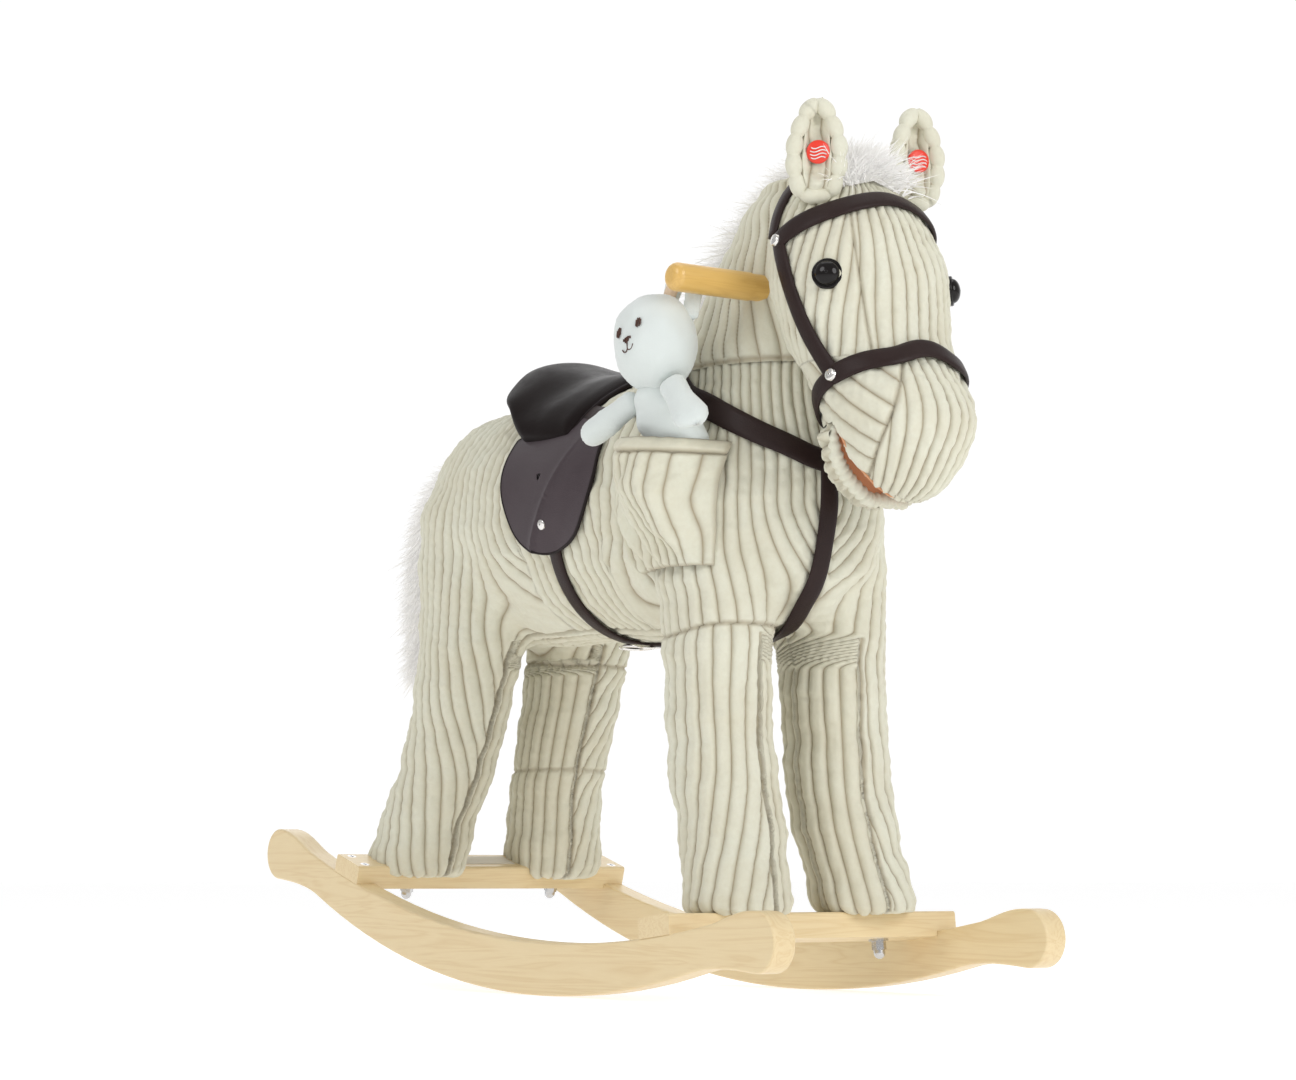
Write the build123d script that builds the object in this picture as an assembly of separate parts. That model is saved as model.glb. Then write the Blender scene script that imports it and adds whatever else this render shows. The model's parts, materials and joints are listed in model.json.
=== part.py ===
"""Plush rocking horse: corduroy horse on a wooden rocking base, with saddle, bridle, a small
plush rabbit in a side pocket, and the frame, drives and sound unit that it holds inside.

Row frame, millimetres: +X is where the horse looks, +Y is its left side, +Z is up.
The origin is on the floor, midway between the two points where the rockers touch it.
The head makes the toy lean forward at rest, so the wooden base is drawn level first and then
rolled forward by LEAN about the centre of its rocking arc.
"""

from build123d import *
import os
from math import asin, cos, radians, sin, sqrt

# ---------------------------------------------------------------- driving dimensions
LEAN = 5.4  # forward roll at rest, degrees
BASE_WIDTH = 280.0  # over the outer faces of the rockers
ROCKER_T = 20.0
ROCK_R = 905.0  # radius of the rocking edge
TOP_R = 1160.0  # radius of the rocker's upper edge
ROCKER_H = 43.0  # rocker height at its middle
ARC_END = 285.0  # where the rocking arc stops
TOP_END = 300.0  # where the upper arc stops
NOSE_X = 360.0  # centre of the rounded rocker end
NOSE_R = 22.5
NOSE_Z = 76.5

BAR_X = 235.0  # crossbars, fore and aft of the rocker's middle
BAR_W = 40.0
BAR_T = 16.0  # over the rockers
BAR_STEP = 4.0  # extra depth between the rockers
SEAT_CUT = 0.3  # flat planed on the rocker under a crossbar
SCREW_U = 12.0
SCREW_R = 2.0
SCREW_HEAD_R = 4.0
SCREW_LEN = 35.0

STUD_Y = 76.0  # leg studs and posts, either side of the middle
STUD_R = 3.0
STUD_UP = 45.0
WASHER_R, WASHER_T = 7.8, 1.5
NUT_FLATS, NUT_HEX_H, NUT_H = 10.0, 7.0, 14.0
POST_R = 10.0
POST_TOP_Z = 362.0

HIP_Z = 340.0  # underside of the hip boards
HIP_T = 18.0
HIP_HALF = 90.0
HIP_W = 36.0
SPINE_HALF, SPINE_T = 15.0, 30.0
SPINE_X = (-258.0, 142.0)
NECK_W, NECK_T = 44.0, 20.0
NECK_TILT = 20.0
NECK_TOP_Z = 598.0

HANDLE_X, HANDLE_Z = 166.0, 550.0
HANDLE_HALF = 133.0
HANDLE_R = 11.2
HANDLE_CORE_R, HANDLE_CORE_HALF = 10.6, 58.0  # turned down where it passes through the neck

WALL = 12.0  # padded cover
STRAP_GAP, STRAP_T = 0.3, 2.2
FLAP_LIFT, FLAP_T = 3.2, 4.0
SEAT_T, CANTLE_T = 16.0, 34.0

JAW_HINGE = (236.0, 438.0)  # x, z
JAW_TOP_Z = 425.0
JAW_LIP = 28.0  # from the hinge forward to the jaw's lip
JAW_GAP = 5.5
JAW_FACE, MUZZLE_FACE = 2.0, 12.0  # lean of the two lips, degrees from upright
LEVER_IN, CRANK_R, CRANK_PIN_R = 28.0, 6.0, 1.5  # both drives: pivot to crank centre, throw, pin
LEVER_SLOT_R = 2.0
SHAFT_R, RUN = 2.0, 0.05  # drive shafts and their running clearance

TAIL_HINGE = (-300.0, 455.0)  # x, z

BOX_X, BOX_Z = (-165.0, -89.0), (299.0, 322.0)  # battery box
DOOR_T = 2.0
DOOR_PIN = (-157.5, 301.0)  # x, z of the battery door's hinge pin
DOOR_BARREL_R, DOOR_PIN_R = 1.8, 1.2
SOUND_X = (8.0, 66.0)

EAR_SWITCH = (645.0, 46.0)  # z, y
EYE = (268.0, 56.0, 543.0)
EYE_R = 10.5
EYE_TURN = 50.0  # which way the eyes look, degrees from straight ahead

POCKET_WALL = 4.0
POCKET_TOP = 436.0
RABBIT_HEAD = (127.0, -119.0, 505.0)
RABBIT_HEAD_R = (32.0, 30.0, 38.0)

os.makedirs("parts", exist_ok=True)


# ---------------------------------------------------------------- helpers
def save(name, *solids):
    """Writes one node; several solids share it as a group."""
    shape = solids[0] if len(solids) == 1 else Compound(children=list(solids))
    export_step(shape, f"parts/{name}.step")


def leaned(shape):
    """From the level base to the row frame."""
    return Pos(0, 0, ROCK_R) * Rot(0, LEAN, 0) * Pos(0, 0, -ROCK_R) * shape


def block(low, high):
    """Box between two corners."""
    size = [b - a for a, b in zip(low, high)]
    middle = [(a + b) / 2 for a, b in zip(low, high)]
    return Pos(*middle) * Box(*size)


def rod(a, b, radius):
    """Round bar from point a to point b."""
    a, b = Vector(*a), Vector(*b)
    plane = Plane(origin=a, z_dir=b - a)
    return extrude(plane * Circle(radius), amount=(b - a).length)


def along_x(stations, grow=0.0):
    """Loft of upright ellipses: (x, centre z, half height, half width)."""
    faces = []
    for x, z, half_h, half_w in stations:
        plane = Plane(origin=(x, 0, z), x_dir=(0, 1, 0), z_dir=(1, 0, 0))
        faces.append(plane * Ellipse(half_w + grow, half_h + grow))
    return loft(faces)


def along_z(stations, grow=0.0):
    """Loft of level ellipses: (z, centre x, centre y, half length, half width)."""
    return loft([Pos(x, y, z) * Ellipse(a + grow, b + grow) for z, x, y, a, b in stations])


def inside(stations, wall):
    """Stations of the hollow that a wall of that thickness leaves."""
    kept = [s for s in stations if min(s[-2:]) > 1.9 * wall]
    return [(*s[:-2], s[-2] - wall, s[-1] - wall) for s in kept]


# ---------------------------------------------------------------- stations of the soft shapes
# x, centre z, half height, half width
TORSO = [
    (-343, 405, 26, 24),
    (-326, 405, 62, 57),
    (-286, 402, 95, 87),
    (-200, 400, 105, 99),
    (-80, 397, 107, 104),
    (40, 393, 110, 102),
    (120, 386, 103, 94),
    (176, 379, 76, 69),
    (202, 376, 32, 29),
]
# z, centre x, centre y, half length, half width, here and in the lists below
NECK = [
    (380, 96, 0, 92, 78),
    (440, 88, 0, 106, 82),
    (490, 96, 0, 96, 70),
    (540, 120, 0, 80, 62),
    (590, 148, 0, 66, 54),
    (625, 168, 0, 50, 44),
    (642, 178, 0, 26, 24),
]
HEAD = [
    (368, 272, 0, 14, 14),
    (378, 275, 0, 31, 31),
    (400, 276, 0, 50, 49),
    (430, 277, 0, 59, 57),
    (460, 266, 0, 58, 59),
    (490, 247, 0, 60, 63),
    (530, 236, 0, 67, 70),
    (570, 227, 0, 64, 67),
    (605, 215, 0, 55, 55),
    (630, 207, 0, 41, 41),
    (641, 204, 0, 21, 21),
]
REAR_LEG = [
    (88, -312, 73, 43, 42),
    (140, -297, 73, 42, 41),
    (200, -277, 72, 41, 40),
    (260, -257, 69, 47, 41),
    (320, -244, 64, 62, 42),
    (380, -240, 58, 66, 44),
    (430, -240, 52, 58, 42),
]
FRONT_LEG = [
    (45, 160, 68, 41, 40),
    (100, 151, 68, 40, 39),
    (180, 142, 68, 41, 39),
    (240, 135, 67, 46, 40),
    (300, 128, 64, 50, 41),
    (360, 120, 60, 50, 42),
    (400, 115, 56, 42, 42),
]


EAR = [
    (598, 240, 45, 13, 16),
    (618, 241, 45, 14, 21),
    (640, 244, 46, 14, 23),
    (662, 246, 47, 11, 18),
    (680, 246, 47, 7, 10),
    (689, 246, 47, 4, 5),
]
# x, z, radius
MANE = [
    (12, 521, 8), (29, 551, 15), (71, 601, 19), (107, 636, 19), (143, 655, 18), (185, 661, 15),
    (226, 652, 14), (256, 636, 9),
]
TAIL = [
    (-350, 455, 12), (-384, 444, 25), (-416, 402, 34), (-428, 345, 36), (-428, 292, 27), (-424, 262, 9)
]
POCKET = [
    (326, 122, -94, 40, 16),
    (345, 118, -98, 50, 28),
    (395, 112, -102, 56, 36),
    (438, 110, -104, 56, 42),
]
RABBIT_TRUNK = [
    (382, 123, -113, 15, 8),
    (400, 123, -115, 20, 11),
    (430, 125, -116, 22, 13),
    (452, 126, -117, 21, 16),
    (472, 126, -118, 16, 14),
]


# ---------------------------------------------------------------- wooden base, drawn level
def rocker():
    """One rocker, drawn level, its inner face at y = 0 and its outer face at y = -ROCKER_T."""
    arc_z = ROCK_R - sqrt(ROCK_R**2 - ARC_END**2)
    top_z = ROCKER_H + TOP_R - sqrt(TOP_R**2 - TOP_END**2)
    low_slope, top_slope = asin(ARC_END / ROCK_R), asin(TOP_END / TOP_R)
    edges = [
        ThreePointArc((-ARC_END, arc_z), (0, 0), (ARC_END, arc_z)),
        ThreePointArc((-TOP_END, top_z), (0, ROCKER_H), (TOP_END, top_z)),
    ]
    for side in (1, -1):
        low = Spline(
            (side * ARC_END, arc_z),
            (side * NOSE_X, NOSE_Z - NOSE_R),
            tangents=[(side * cos(low_slope), sin(low_slope)), (side, 0)],
        )
        nose = ThreePointArc(
            (side * NOSE_X, NOSE_Z - NOSE_R),
            (side * (NOSE_X + NOSE_R), NOSE_Z),
            (side * NOSE_X, NOSE_Z + NOSE_R),
        )
        top = Spline(
            (side * NOSE_X, NOSE_Z + NOSE_R),
            (side * TOP_END, top_z),
            tangents=[(-side, 0), (-side * cos(top_slope), -sin(top_slope))],
        )
        edges += [low, nose, top]
    outline = Plane.XZ * make_face(edges)
    board = extrude(outline, amount=ROCKER_T)
    return fillet(board.edges().filter_by(Axis.Y, reverse=True), 1.8)


def bar_plane(side):
    """Where a crossbar sits on the rockers: local x forward along it, local z its upward normal."""
    z = ROCKER_H + TOP_R - sqrt(TOP_R**2 - BAR_X**2) - SEAT_CUT
    slope = asin(BAR_X / TOP_R)
    normal = (-side * sin(slope), 0, cos(slope))
    return Plane(origin=(side * BAR_X, 0, z), x_dir=(cos(slope), 0, side * sin(slope)), z_dir=normal)


def crossbar():
    """A crossbar in its own frame, stepped where it passes over the rockers."""
    half = BASE_WIDTH / 2
    body = block((-BAR_W / 2, -half, 0), (BAR_W / 2, half, BAR_T))
    inner = half - ROCKER_T
    deep = block((-BAR_W / 2, -inner, -BAR_STEP), (BAR_W / 2, inner, 0))
    bar = body + deep
    outer_edges = bar.edges().filter_by(Axis.Y).sort_by(Axis.Z)[-2:]
    return fillet(outer_edges, 2.5)


def screw_hole():
    """Countersunk hole, its mouth at z = 0."""
    shank = Pos(0, 0, -SCREW_LEN / 2) * Cylinder(SCREW_R, SCREW_LEN)
    return shank + Pos(0, 0, -1.5) * Cone(SCREW_R, SCREW_HEAD_R, 3)


def wood_screw():
    """Countersunk cross-head screw that fills its hole."""
    cross = Box(4.4, 1.0, 1.2) + Box(1.0, 4.4, 1.2)
    return screw_hole() - Pos(0, 0, -0.6) * cross


def dome_nut():
    """Cap nut on a stud, hanging from z = 0 downwards."""
    hexagon = extrude(RegularPolygon(NUT_FLATS / 2, 6, major_radius=False), amount=-NUT_HEX_H)
    dome_r = NUT_FLATS / 2 - 0.4
    barrel = Pos(0, 0, -(NUT_H - dome_r) / 2) * Cylinder(dome_r, NUT_H - dome_r)
    cap = Pos(0, 0, -(NUT_H - dome_r)) * Sphere(dome_r)
    return hexagon + barrel + cap


right_rocker = Pos(0, -BASE_WIDTH / 2 + ROCKER_T, 0) * rocker()
left_rocker = mirror(right_rocker, about=Plane.XZ)
bars, post_rods, screws, studs, washers, nuts, below = {}, [], [], [], [], [], []
for end, side in (("front", 1), ("rear", -1)):
    seat = Location(bar_plane(side))
    bar = seat * crossbar()
    over_rockers = seat * block((-BAR_W / 2, -200, 0), (BAR_W / 2, 200, 60))
    right_rocker -= over_rockers
    left_rocker -= over_rockers
    for y in (-1, 1):
        for u in (-SCREW_U, SCREW_U):
            place = seat * Pos(u, y * (BASE_WIDTH - ROCKER_T) / 2, BAR_T)
            screws.append(place * wood_screw())
            bar -= place * screw_hole()
            right_rocker -= place * screw_hole()
            left_rocker -= place * screw_hole()
        low = -BAR_STEP - WASHER_T - NUT_H + 5
        axis = seat * Pos(0, y * STUD_Y, 0)
        stud = axis * Pos(0, 0, (STUD_UP + low) / 2) * Cylinder(STUD_R, STUD_UP - low)
        studs.append(stud)
        ring = Cylinder(WASHER_R, WASHER_T) - Cylinder(STUD_R, WASHER_T)
        washers.append(axis * Pos(0, 0, -BAR_STEP - WASHER_T / 2) * ring)
        nuts.append(axis * Pos(0, 0, -BAR_STEP - WASHER_T) * dome_nut() - stud)
        post_rods.append(axis * Pos(0, 0, BAR_T + 200) * Cylinder(POST_R, 400) - stud)
        bar -= stud
    bars[end] = leaned(bar)
    below.append(leaned(seat * block((-150, -160, -150), (150, 160, BAR_T))))

studs = [leaned(s) for s in studs]
save("rocker_right", leaned(right_rocker))
save("rocker_left", leaned(left_rocker))
save("front_crossbar", bars["front"])
save("rear_crossbar", bars["rear"])
save("crossbar_screws", *[leaned(s) for s in screws])
save("leg_studs", *studs)
save("stud_washers", *[leaned(s) for s in washers])
save("dome_nuts", *[leaned(s) for s in nuts])
label = leaned(Location(bar_plane(-1)) * block((-11, -26, BAR_T), (11, 26, BAR_T + 0.5)))
save("crossbar_label", label)


# ---------------------------------------------------------------- wooden frame inside the horse
under_top = block((-500, -200, 0), (500, 200, POST_TOP_Z))
leg_posts = [leaned(p) & under_top for p in post_rods]
spine = block((SPINE_X[0], -SPINE_HALF, HIP_Z + HIP_T), (SPINE_X[1], SPINE_HALF, HIP_Z + HIP_T + SPINE_T))
spine_top = HIP_Z + HIP_T + SPINE_T
hips = []
for post in (leg_posts[0], leg_posts[2]):
    x = post.faces().sort_by(Axis.Z)[-1].center().X
    hips.append(block((x - HIP_W / 2, -HIP_HALF, HIP_Z), (x + HIP_W / 2, HIP_HALF, HIP_Z + HIP_T)))
leg_posts = [p - hips[0] - hips[1] + (p & hips[0]) + (p & hips[1]) for p in leg_posts]
for post in leg_posts:
    hips = [h - post for h in hips]

slope = radians(NECK_TILT)
neck_low = (HANDLE_X - (HANDLE_Z - spine_top) * sin(slope) / cos(slope), 0, spine_top)
neck_len = (NECK_TOP_Z - spine_top) / cos(slope)
neck_post = Pos(*neck_low) * Rot(0, NECK_TILT, 0) * block(
    (-NECK_W / 2, -NECK_T / 2, -20), (NECK_W / 2, NECK_T / 2, neck_len)
)
neck_post -= block((-100, -100, 200), (300, 100, spine_top))
handle = Pos(HANDLE_X, 0, HANDLE_Z) * Rot(90, 0, 0) * Cylinder(HANDLE_R, 2 * HANDLE_HALF)
handle = fillet(handle.edges(), 7)
handle -= block((0, -HANDLE_CORE_HALF, 500), (300, HANDLE_CORE_HALF, 600))
handle += Pos(HANDLE_X, 0, HANDLE_Z) * Rot(90, 0, 0) * Cylinder(HANDLE_CORE_R, 2 * HANDLE_CORE_HALF)
neck_post -= handle

save("leg_posts", *leg_posts)
save("hip_boards", *hips)
save("spine_rail", spine)
save("neck_post", neck_post)
save("handle_bar", handle)


# ---------------------------------------------------------------- drives, power and sound
def lever_frame(arm):
    """Swinging lever about the origin's y axis, slotted arm up; arm is fused on below."""
    barrel = Rot(90, 0, 0) * Cylinder(5, 20)
    pins = Rot(90, 0, 0) * Cylinder(SHAFT_R, 38)
    reach = LEVER_IN + CRANK_R
    plate = block((-5, -2, 0), (5, 2, reach + 8))
    slot = block((-LEVER_SLOT_R, -3, reach - 5), (LEVER_SLOT_R, 3, reach + 4))
    return barrel + pins + plate - slot + arm


def crank():
    """Crank disc on a short shaft along y, its pin pointing to z = CRANK_R and y = 0."""
    shaft = Pos(0, 9, 0) * Rot(90, 0, 0) * Cylinder(SHAFT_R, 10)
    disc = Pos(0, 5, 0) * Rot(90, 0, 0) * Cylinder(CRANK_R + 3, 2)
    pin = Pos(0, 1, CRANK_R) * Rot(90, 0, 0) * Cylinder(CRANK_PIN_R, 6)
    return shaft + disc + pin


def drive_case():
    """Gearbox beside the lever, with the two lugs that carry the lever's pins."""
    box = block((-13, 8, 12), (23, 28, LEVER_IN + 22))
    lug = block((-5, 11, -6), (5, 16, 12))
    far_arm = block((-5, -16, -6), (5, -11, LEVER_IN + 22))
    bridge = block((-5, -16, LEVER_IN + 17), (5, 8, LEVER_IN + 22))
    case = box + lug + far_arm + bridge
    case -= Rot(90, 0, 0) * Cylinder(SHAFT_R + RUN, 60)
    shaft_room = Pos(0, 12, LEVER_IN) * Rot(90, 0, 0) * Cylinder(SHAFT_R + RUN, 9)
    return case - shaft_room


jaw_paddle = Rot(0, -14, 0) * (
    block((-3, -9, -14), (3, 9, -3)) + block((-3, -20, -56), (3, 20, -14))
)
at_jaw = Pos(JAW_HINGE[0], 0, JAW_HINGE[1])
jaw_frame = at_jaw * lever_frame(jaw_paddle)
jaw_crank = at_jaw * Pos(0, 0, LEVER_IN) * crank()
bracket_z = JAW_HINGE[1] + LEVER_IN + 17
bracket = block((155, -8, bracket_z), (JAW_HINGE[0], 8, bracket_z + 5))
jaw_drive = at_jaw * drive_case() + bracket - neck_post

tail_plane = Plane(origin=(TAIL_HINGE[0], 0, TAIL_HINGE[1]), x_dir=(0, -1, 0), z_dir=(1, 0, 0))
at_tail = Location(tail_plane)
tail_stem = rod((0, 0, -4), (0, 0, -80), 4)
tail_frame = at_tail * lever_frame(tail_stem)
tail_crank = at_tail * Pos(0, 0, LEVER_IN) * crank()
foot_x = TAIL_HINGE[0] + LEVER_IN + 14
foot = block((foot_x, -10, spine_top), (foot_x + 8, 10, TAIL_HINGE[1] - 27))
tail_drive = at_tail * drive_case() + foot

battery_box = block((BOX_X[0], -31, BOX_Z[0]), (BOX_X[1], 31, BOX_Z[1]))
battery_box -= block((BOX_X[0] + 3, -27, BOX_Z[0]), (BOX_X[0] + 61, 27, BOX_Z[1] - 3))
battery_box -= block((BOX_X[1] - 13, -8, BOX_Z[0]), (BOX_X[1] - 3, 8, BOX_Z[0] + 6))
battery_door = block((DOOR_PIN[0], -26.6, BOX_Z[0]), (BOX_X[0] + 60.6, 26.6, BOX_Z[0] + DOOR_T))
at_door = Pos(DOOR_PIN[0], 0, DOOR_PIN[1]) * Rot(90, 0, 0)
battery_door += at_door * Cylinder(DOOR_BARREL_R, 53.2) + at_door * Cylinder(DOOR_PIN_R, 58)
battery_box -= at_door * Cylinder(DOOR_PIN_R + RUN, 60)
cells = []
for y in (-16, 0, 16):
    can = Pos(BOX_X[0] + 32, y, BOX_Z[0] + 11.5) * Rot(0, 90, 0) * Cylinder(7.2, 49)
    cap = Pos(BOX_X[0] + 57.2, y, BOX_Z[0] + 11.5) * Rot(0, 90, 0) * Cylinder(2.7, 1.4)
    cells.append(can + cap)
switch_x = BOX_X[1] - 8
power_switch = block((switch_x - 3, -6, BOX_Z[0] + 1.5), (switch_x + 3, 2, BOX_Z[0] + 6))
power_switch += block((switch_x - 1.5, -4, BOX_Z[0] - 1.5), (switch_x + 1.5, 0, BOX_Z[0] + 1.5))
sound_unit = block((SOUND_X[0], -25, spine_top), (SOUND_X[1], 25, spine_top + 22))
sound_unit += Pos(sum(SOUND_X) / 2, 0, spine_top + 28) * Cylinder(24, 12)

save("jaw_frame", jaw_frame)
save("jaw_crank", jaw_crank)
save("jaw_drive", jaw_drive)
save("tail_frame", tail_frame)
save("tail_crank", tail_crank)
save("tail_drive", tail_drive)
save("battery_box", battery_box)
save("battery_door", battery_door)
save("battery_cells", *cells)
save("power_switch", power_switch)
save("sound_unit", sound_unit)


# ---------------------------------------------------------------- padded covers
def leg(stations):
    """Right and left copies of a leg, each as (outer, hollow)."""
    outer = along_z(stations)
    hollow = along_z(shifted_ends(inside(stations, WALL), WALL))
    right = [mirror(s, about=Plane.XZ) for s in (outer, hollow)]
    return right, [outer, hollow]


def shifted_ends(stations, inward):
    """The same stations with the first and last moved inwards."""
    first, last = list(stations[0]), list(stations[-1])
    first[0] += inward
    last[0] -= inward
    return [tuple(first), *stations[1:-1], tuple(last)]


torso, torso_hollow = along_x(TORSO), along_x(shifted_ends(inside(TORSO, WALL), WALL))
neck, neck_hollow = along_z(NECK), along_z(inside(NECK, WALL))
skull, skull_hollow = along_z(HEAD), along_z(shifted_ends(inside(HEAD, WALL), WALL))
rear_right, rear_left = leg(REAR_LEG)
front_right, front_left = leg(FRONT_LEG)

inner_parts = [*leg_posts, *studs, *hips, spine, neck_post, handle]
body_room = [tail_drive, sound_unit, battery_box]
tail_slot = block((-350, -20, TAIL_HINGE[1] - 9), (-308, 20, TAIL_HINGE[1] + 9))
belly_window = block((BOX_X[0] - 1, -32, 280), (BOX_X[1] + 1, 32, BOX_Z[1]))
body_cover = torso - torso_hollow - neck_hollow
for piece in [*inner_parts, *body_room, tail_slot, belly_window]:
    body_cover -= piece

legs = {}
for name, (outer, hollow), under in (
    ("rear_right_leg", rear_right, below[1]),
    ("rear_left_leg", rear_left, below[1]),
    ("front_right_leg", front_right, below[0]),
    ("front_left_leg", front_left, below[0]),
):
    cover = outer - torso - under
    cover -= hollow - (Pos(0, 0, 10) * under)
    for piece in [*leg_posts, *studs, *hips]:
        cover -= piece
    legs[name] = cover

jaw_x, jaw_z = JAW_HINGE[0] + JAW_LIP, JAW_TOP_Z
lip_low = Pos(jaw_x, 0, jaw_z) * Rot(0, -JAW_FACE, 0) * block((-200, -100, -200), (0, 100, 50))
jaw_half = lip_low & block((100, -100, 300), (400, 100, jaw_z))
mouth_x, mouth_z = jaw_x + 2, jaw_z + JAW_GAP
muzzle_side = Pos(mouth_x, 0, mouth_z) * Rot(0, -MUZZLE_FACE, 0)
mouth_cut = muzzle_side * block((-200, -100, -200), (0, 100, 80)) & block(
    (100, -100, 300), (400, 100, mouth_z)
)
jaw_cover = skull & jaw_half
jaw_cover -= jaw_frame
head_cover = skull - skull_hollow - mouth_cut - neck_hollow
mouth_lining = muzzle_side * block((0.0, -100, -200), (2.0, 100, 0)) & skull
mouth_lining &= block((100, -100, 300), (400, 100, mouth_z))
head_cover -= mouth_lining
neck_cover = neck - neck_hollow - torso - skull
for piece in [neck_post, handle, jaw_drive]:
    head_cover -= piece
    neck_cover -= piece


# ---------------------------------------------------------------- ears, eyes, mane and tail
def ear(side):
    """One ear, its switch base and its button."""
    outer = along_z([(z, x, side * y, a, b) for z, x, y, a, b in EAR]) - skull
    z, y = EAR_SWITCH
    centre = Pos(243, side * y, z) * Rot(0, 90, 0)
    room = centre * Cylinder(8.6, 11)
    base = centre * Pos(0, 0, -3.4) * Cylinder(8, 4) - centre * Pos(0, 0, -2.9) * Cylinder(2.05, 3)
    button = centre * (Pos(0, 0, 2.1) * Cylinder(6, 3) + Pos(0, 0, -0.4) * Cylinder(2, 2))
    sticker = centre * Pos(0, 0, 20) * Cylinder(8, 40)
    return outer, room, base, button, sticker


ears, ear_bases, ear_buttons, stickers = {}, [], {}, []
for name, side in (("right", -1), ("left", 1)):
    outer, room, base, button, sticker = ear(side)
    face = Pos(0.5, 0, 0) * outer - outer
    disc = face & sticker & block((244, -100, 600), (300, 100, 700))
    stickers.append(max(disc.solids(), key=lambda s: s.volume))
    ears[name] = outer - room
    ear_bases.append(base)
    ear_buttons[name] = button

beads, eye_locks = [], []
for side in (-1, 1):
    look = Pos(EYE[0], side * EYE[1], EYE[2]) * Rot(0, 0, side * EYE_TURN) * Rot(0, 90, 0)
    bead = look * (Pos(0, 0, -4) * Sphere(EYE_R) + Pos(0, 0, -12) * Cylinder(2.4, 16))
    beads.append(bead)
    eye_locks.append(look * Pos(0, 0, -15.5) * Cylinder(9, 1.2) - bead)



def along_path(stations):
    """Loft of circles across an (x, z) path in the plane y = 0: (x, z, radius)."""
    faces = []
    for i, (x, z, r) in enumerate(stations):
        x0, z0, _ = stations[max(i - 1, 0)]
        x1, z1, _ = stations[min(i + 1, len(stations) - 1)]
        plane = Plane(origin=(x, 0, z), x_dir=(0, 1, 0), z_dir=(x1 - x0, 0, z1 - z0))
        faces.append(plane * Circle(r))
    return loft(faces)


mane = along_path(MANE) - neck - skull - ears["right"] - ears["left"]
mane = max(mane.solids(), key=lambda s: s.volume)
tail_hair = along_path(TAIL) - tail_frame


# ---------------------------------------------------------------- saddle, harness and bridle
def grown(amount):
    """The horse's trunk and its head, as the outside of a layer that lies on them."""
    trunk = along_x(shifted_ends(TORSO, -amount), amount)
    trunk_and_neck = trunk + along_z(NECK, amount)
    return trunk, trunk_and_neck, along_z(shifted_ends(HEAD, -amount), amount)


def band(points, width):
    """Strip of that width along an (x, z) line, right across the horse."""
    strip = trace(Polyline(*points), line_width=width)
    return extrude(Plane.XZ * strip, amount=200, both=True)


trunk_in, both_in, head_in = grown(STRAP_GAP)
trunk_out, both_out, head_out = grown(STRAP_GAP + STRAP_T)
trunk_seat, _, _ = grown(SEAT_T)
trunk_cantle, _, _ = grown(CANTLE_T)
flap_in, _, _ = grown(FLAP_LIFT)
flap_out, _, _ = grown(FLAP_LIFT + FLAP_T)
stud_out, _, _ = grown(FLAP_LIFT + FLAP_T + 1.5)
_, _, rivet_out = grown(STRAP_GAP + STRAP_T + 1.6)

saddle_seat = (trunk_seat & block((-204, -72, 440), (-24, 72, 600))) + (
    trunk_cantle & block((-204, -56, 440), (-180, 56, 600))
)
saddle_seat -= trunk_in
seat_pad = (grown(SEAT_T - 2.5)[0] - grown(STRAP_GAP + 2.5)[0]) & block((-177, -69, 440), (-27, 69, 600))
saddle_seat -= seat_pad
flap_shape = Plane.XZ * Pos(-42, 430) * Ellipse(72, 78)
flap_zone = extrude(flap_shape, amount=160) & block((-200, -160, 300), (100, -72.5, 484))
saddle_flap_right = (flap_out - flap_in) & flap_zone
saddle_flap_left = mirror(saddle_flap_right, about=Plane.XZ)

breast_line = [(-23, 476), (60, 480), (126, 463), (204, 403)]
breast_strap = (both_out - both_in) & band(breast_line, 17)
girth_band = band([(-26, 400), (-30, 360), (-48, 298), (-54, 270)], 15)
girth_strap = (trunk_out - trunk_in) & girth_band & block((-100, -150, 200), (100, 150, 396))
martingale_strap = (trunk_out - trunk_in) & block((-46, -7, 200), (280, 7, 420))
martingale_strap = martingale_strap - girth_strap - breast_strap - both_in
martingale_strap = max(martingale_strap.solids(), key=lambda s: s.volume)
buckle = block((-61, -22, 284.4), (-39, 2, 286.8)) - block((-57, -18, 284), (-43, -2, 287))
buckle -= trunk_out

browband = (head_out - head_in) & band([(196, 580), (276, 626)], 16)
browband = browband & block((196, -100, 500), (400, 100, 700))
stall_line = [(214, 652), (196, 582), (206, 545), (262, 466)]
headstall = (head_out - head_in) & band(stall_line, 14) & block((0, -100, 458), (400, 100, 700))
headstall -= browband
noseband = (head_out - head_in) & band([(196, 441), (262, 466), (320, 508)], 14)
noseband -= headstall
rivet_spots = [(196, 582), (262, 466)]
rivets = []
for side in (-1, 1):
    for x, z in rivet_spots:
        peg = Pos(x, side * 60, z) * Rot(90, 0, 0) * Cylinder(4.6, 110)
        half = block((0, -200 if side < 0 else 0, 0), (400, 0 if side < 0 else 200, 700))
        rivets.append((rivet_out - head_out) & peg & half)
    peg = Pos(-28, side * 110, 374) * Rot(90, 0, 0) * Cylinder(4.6, 100)
    rivets.append((stud_out - flap_out) & peg)


# ---------------------------------------------------------------- pocket and rabbit
raised = [(z + 0.1 * (440 - z), x, y, a, b) for z, x, y, a, b in POCKET]
pocket = along_z(POCKET) - along_z(raised, -POCKET_WALL) - block((0, -200, POCKET_TOP), (300, 0, 460))
pocket_panel = pocket - trunk_out - both_out - front_right[0]
pocket_panel = max(pocket_panel.solids(), key=lambda s: s.volume)


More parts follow.
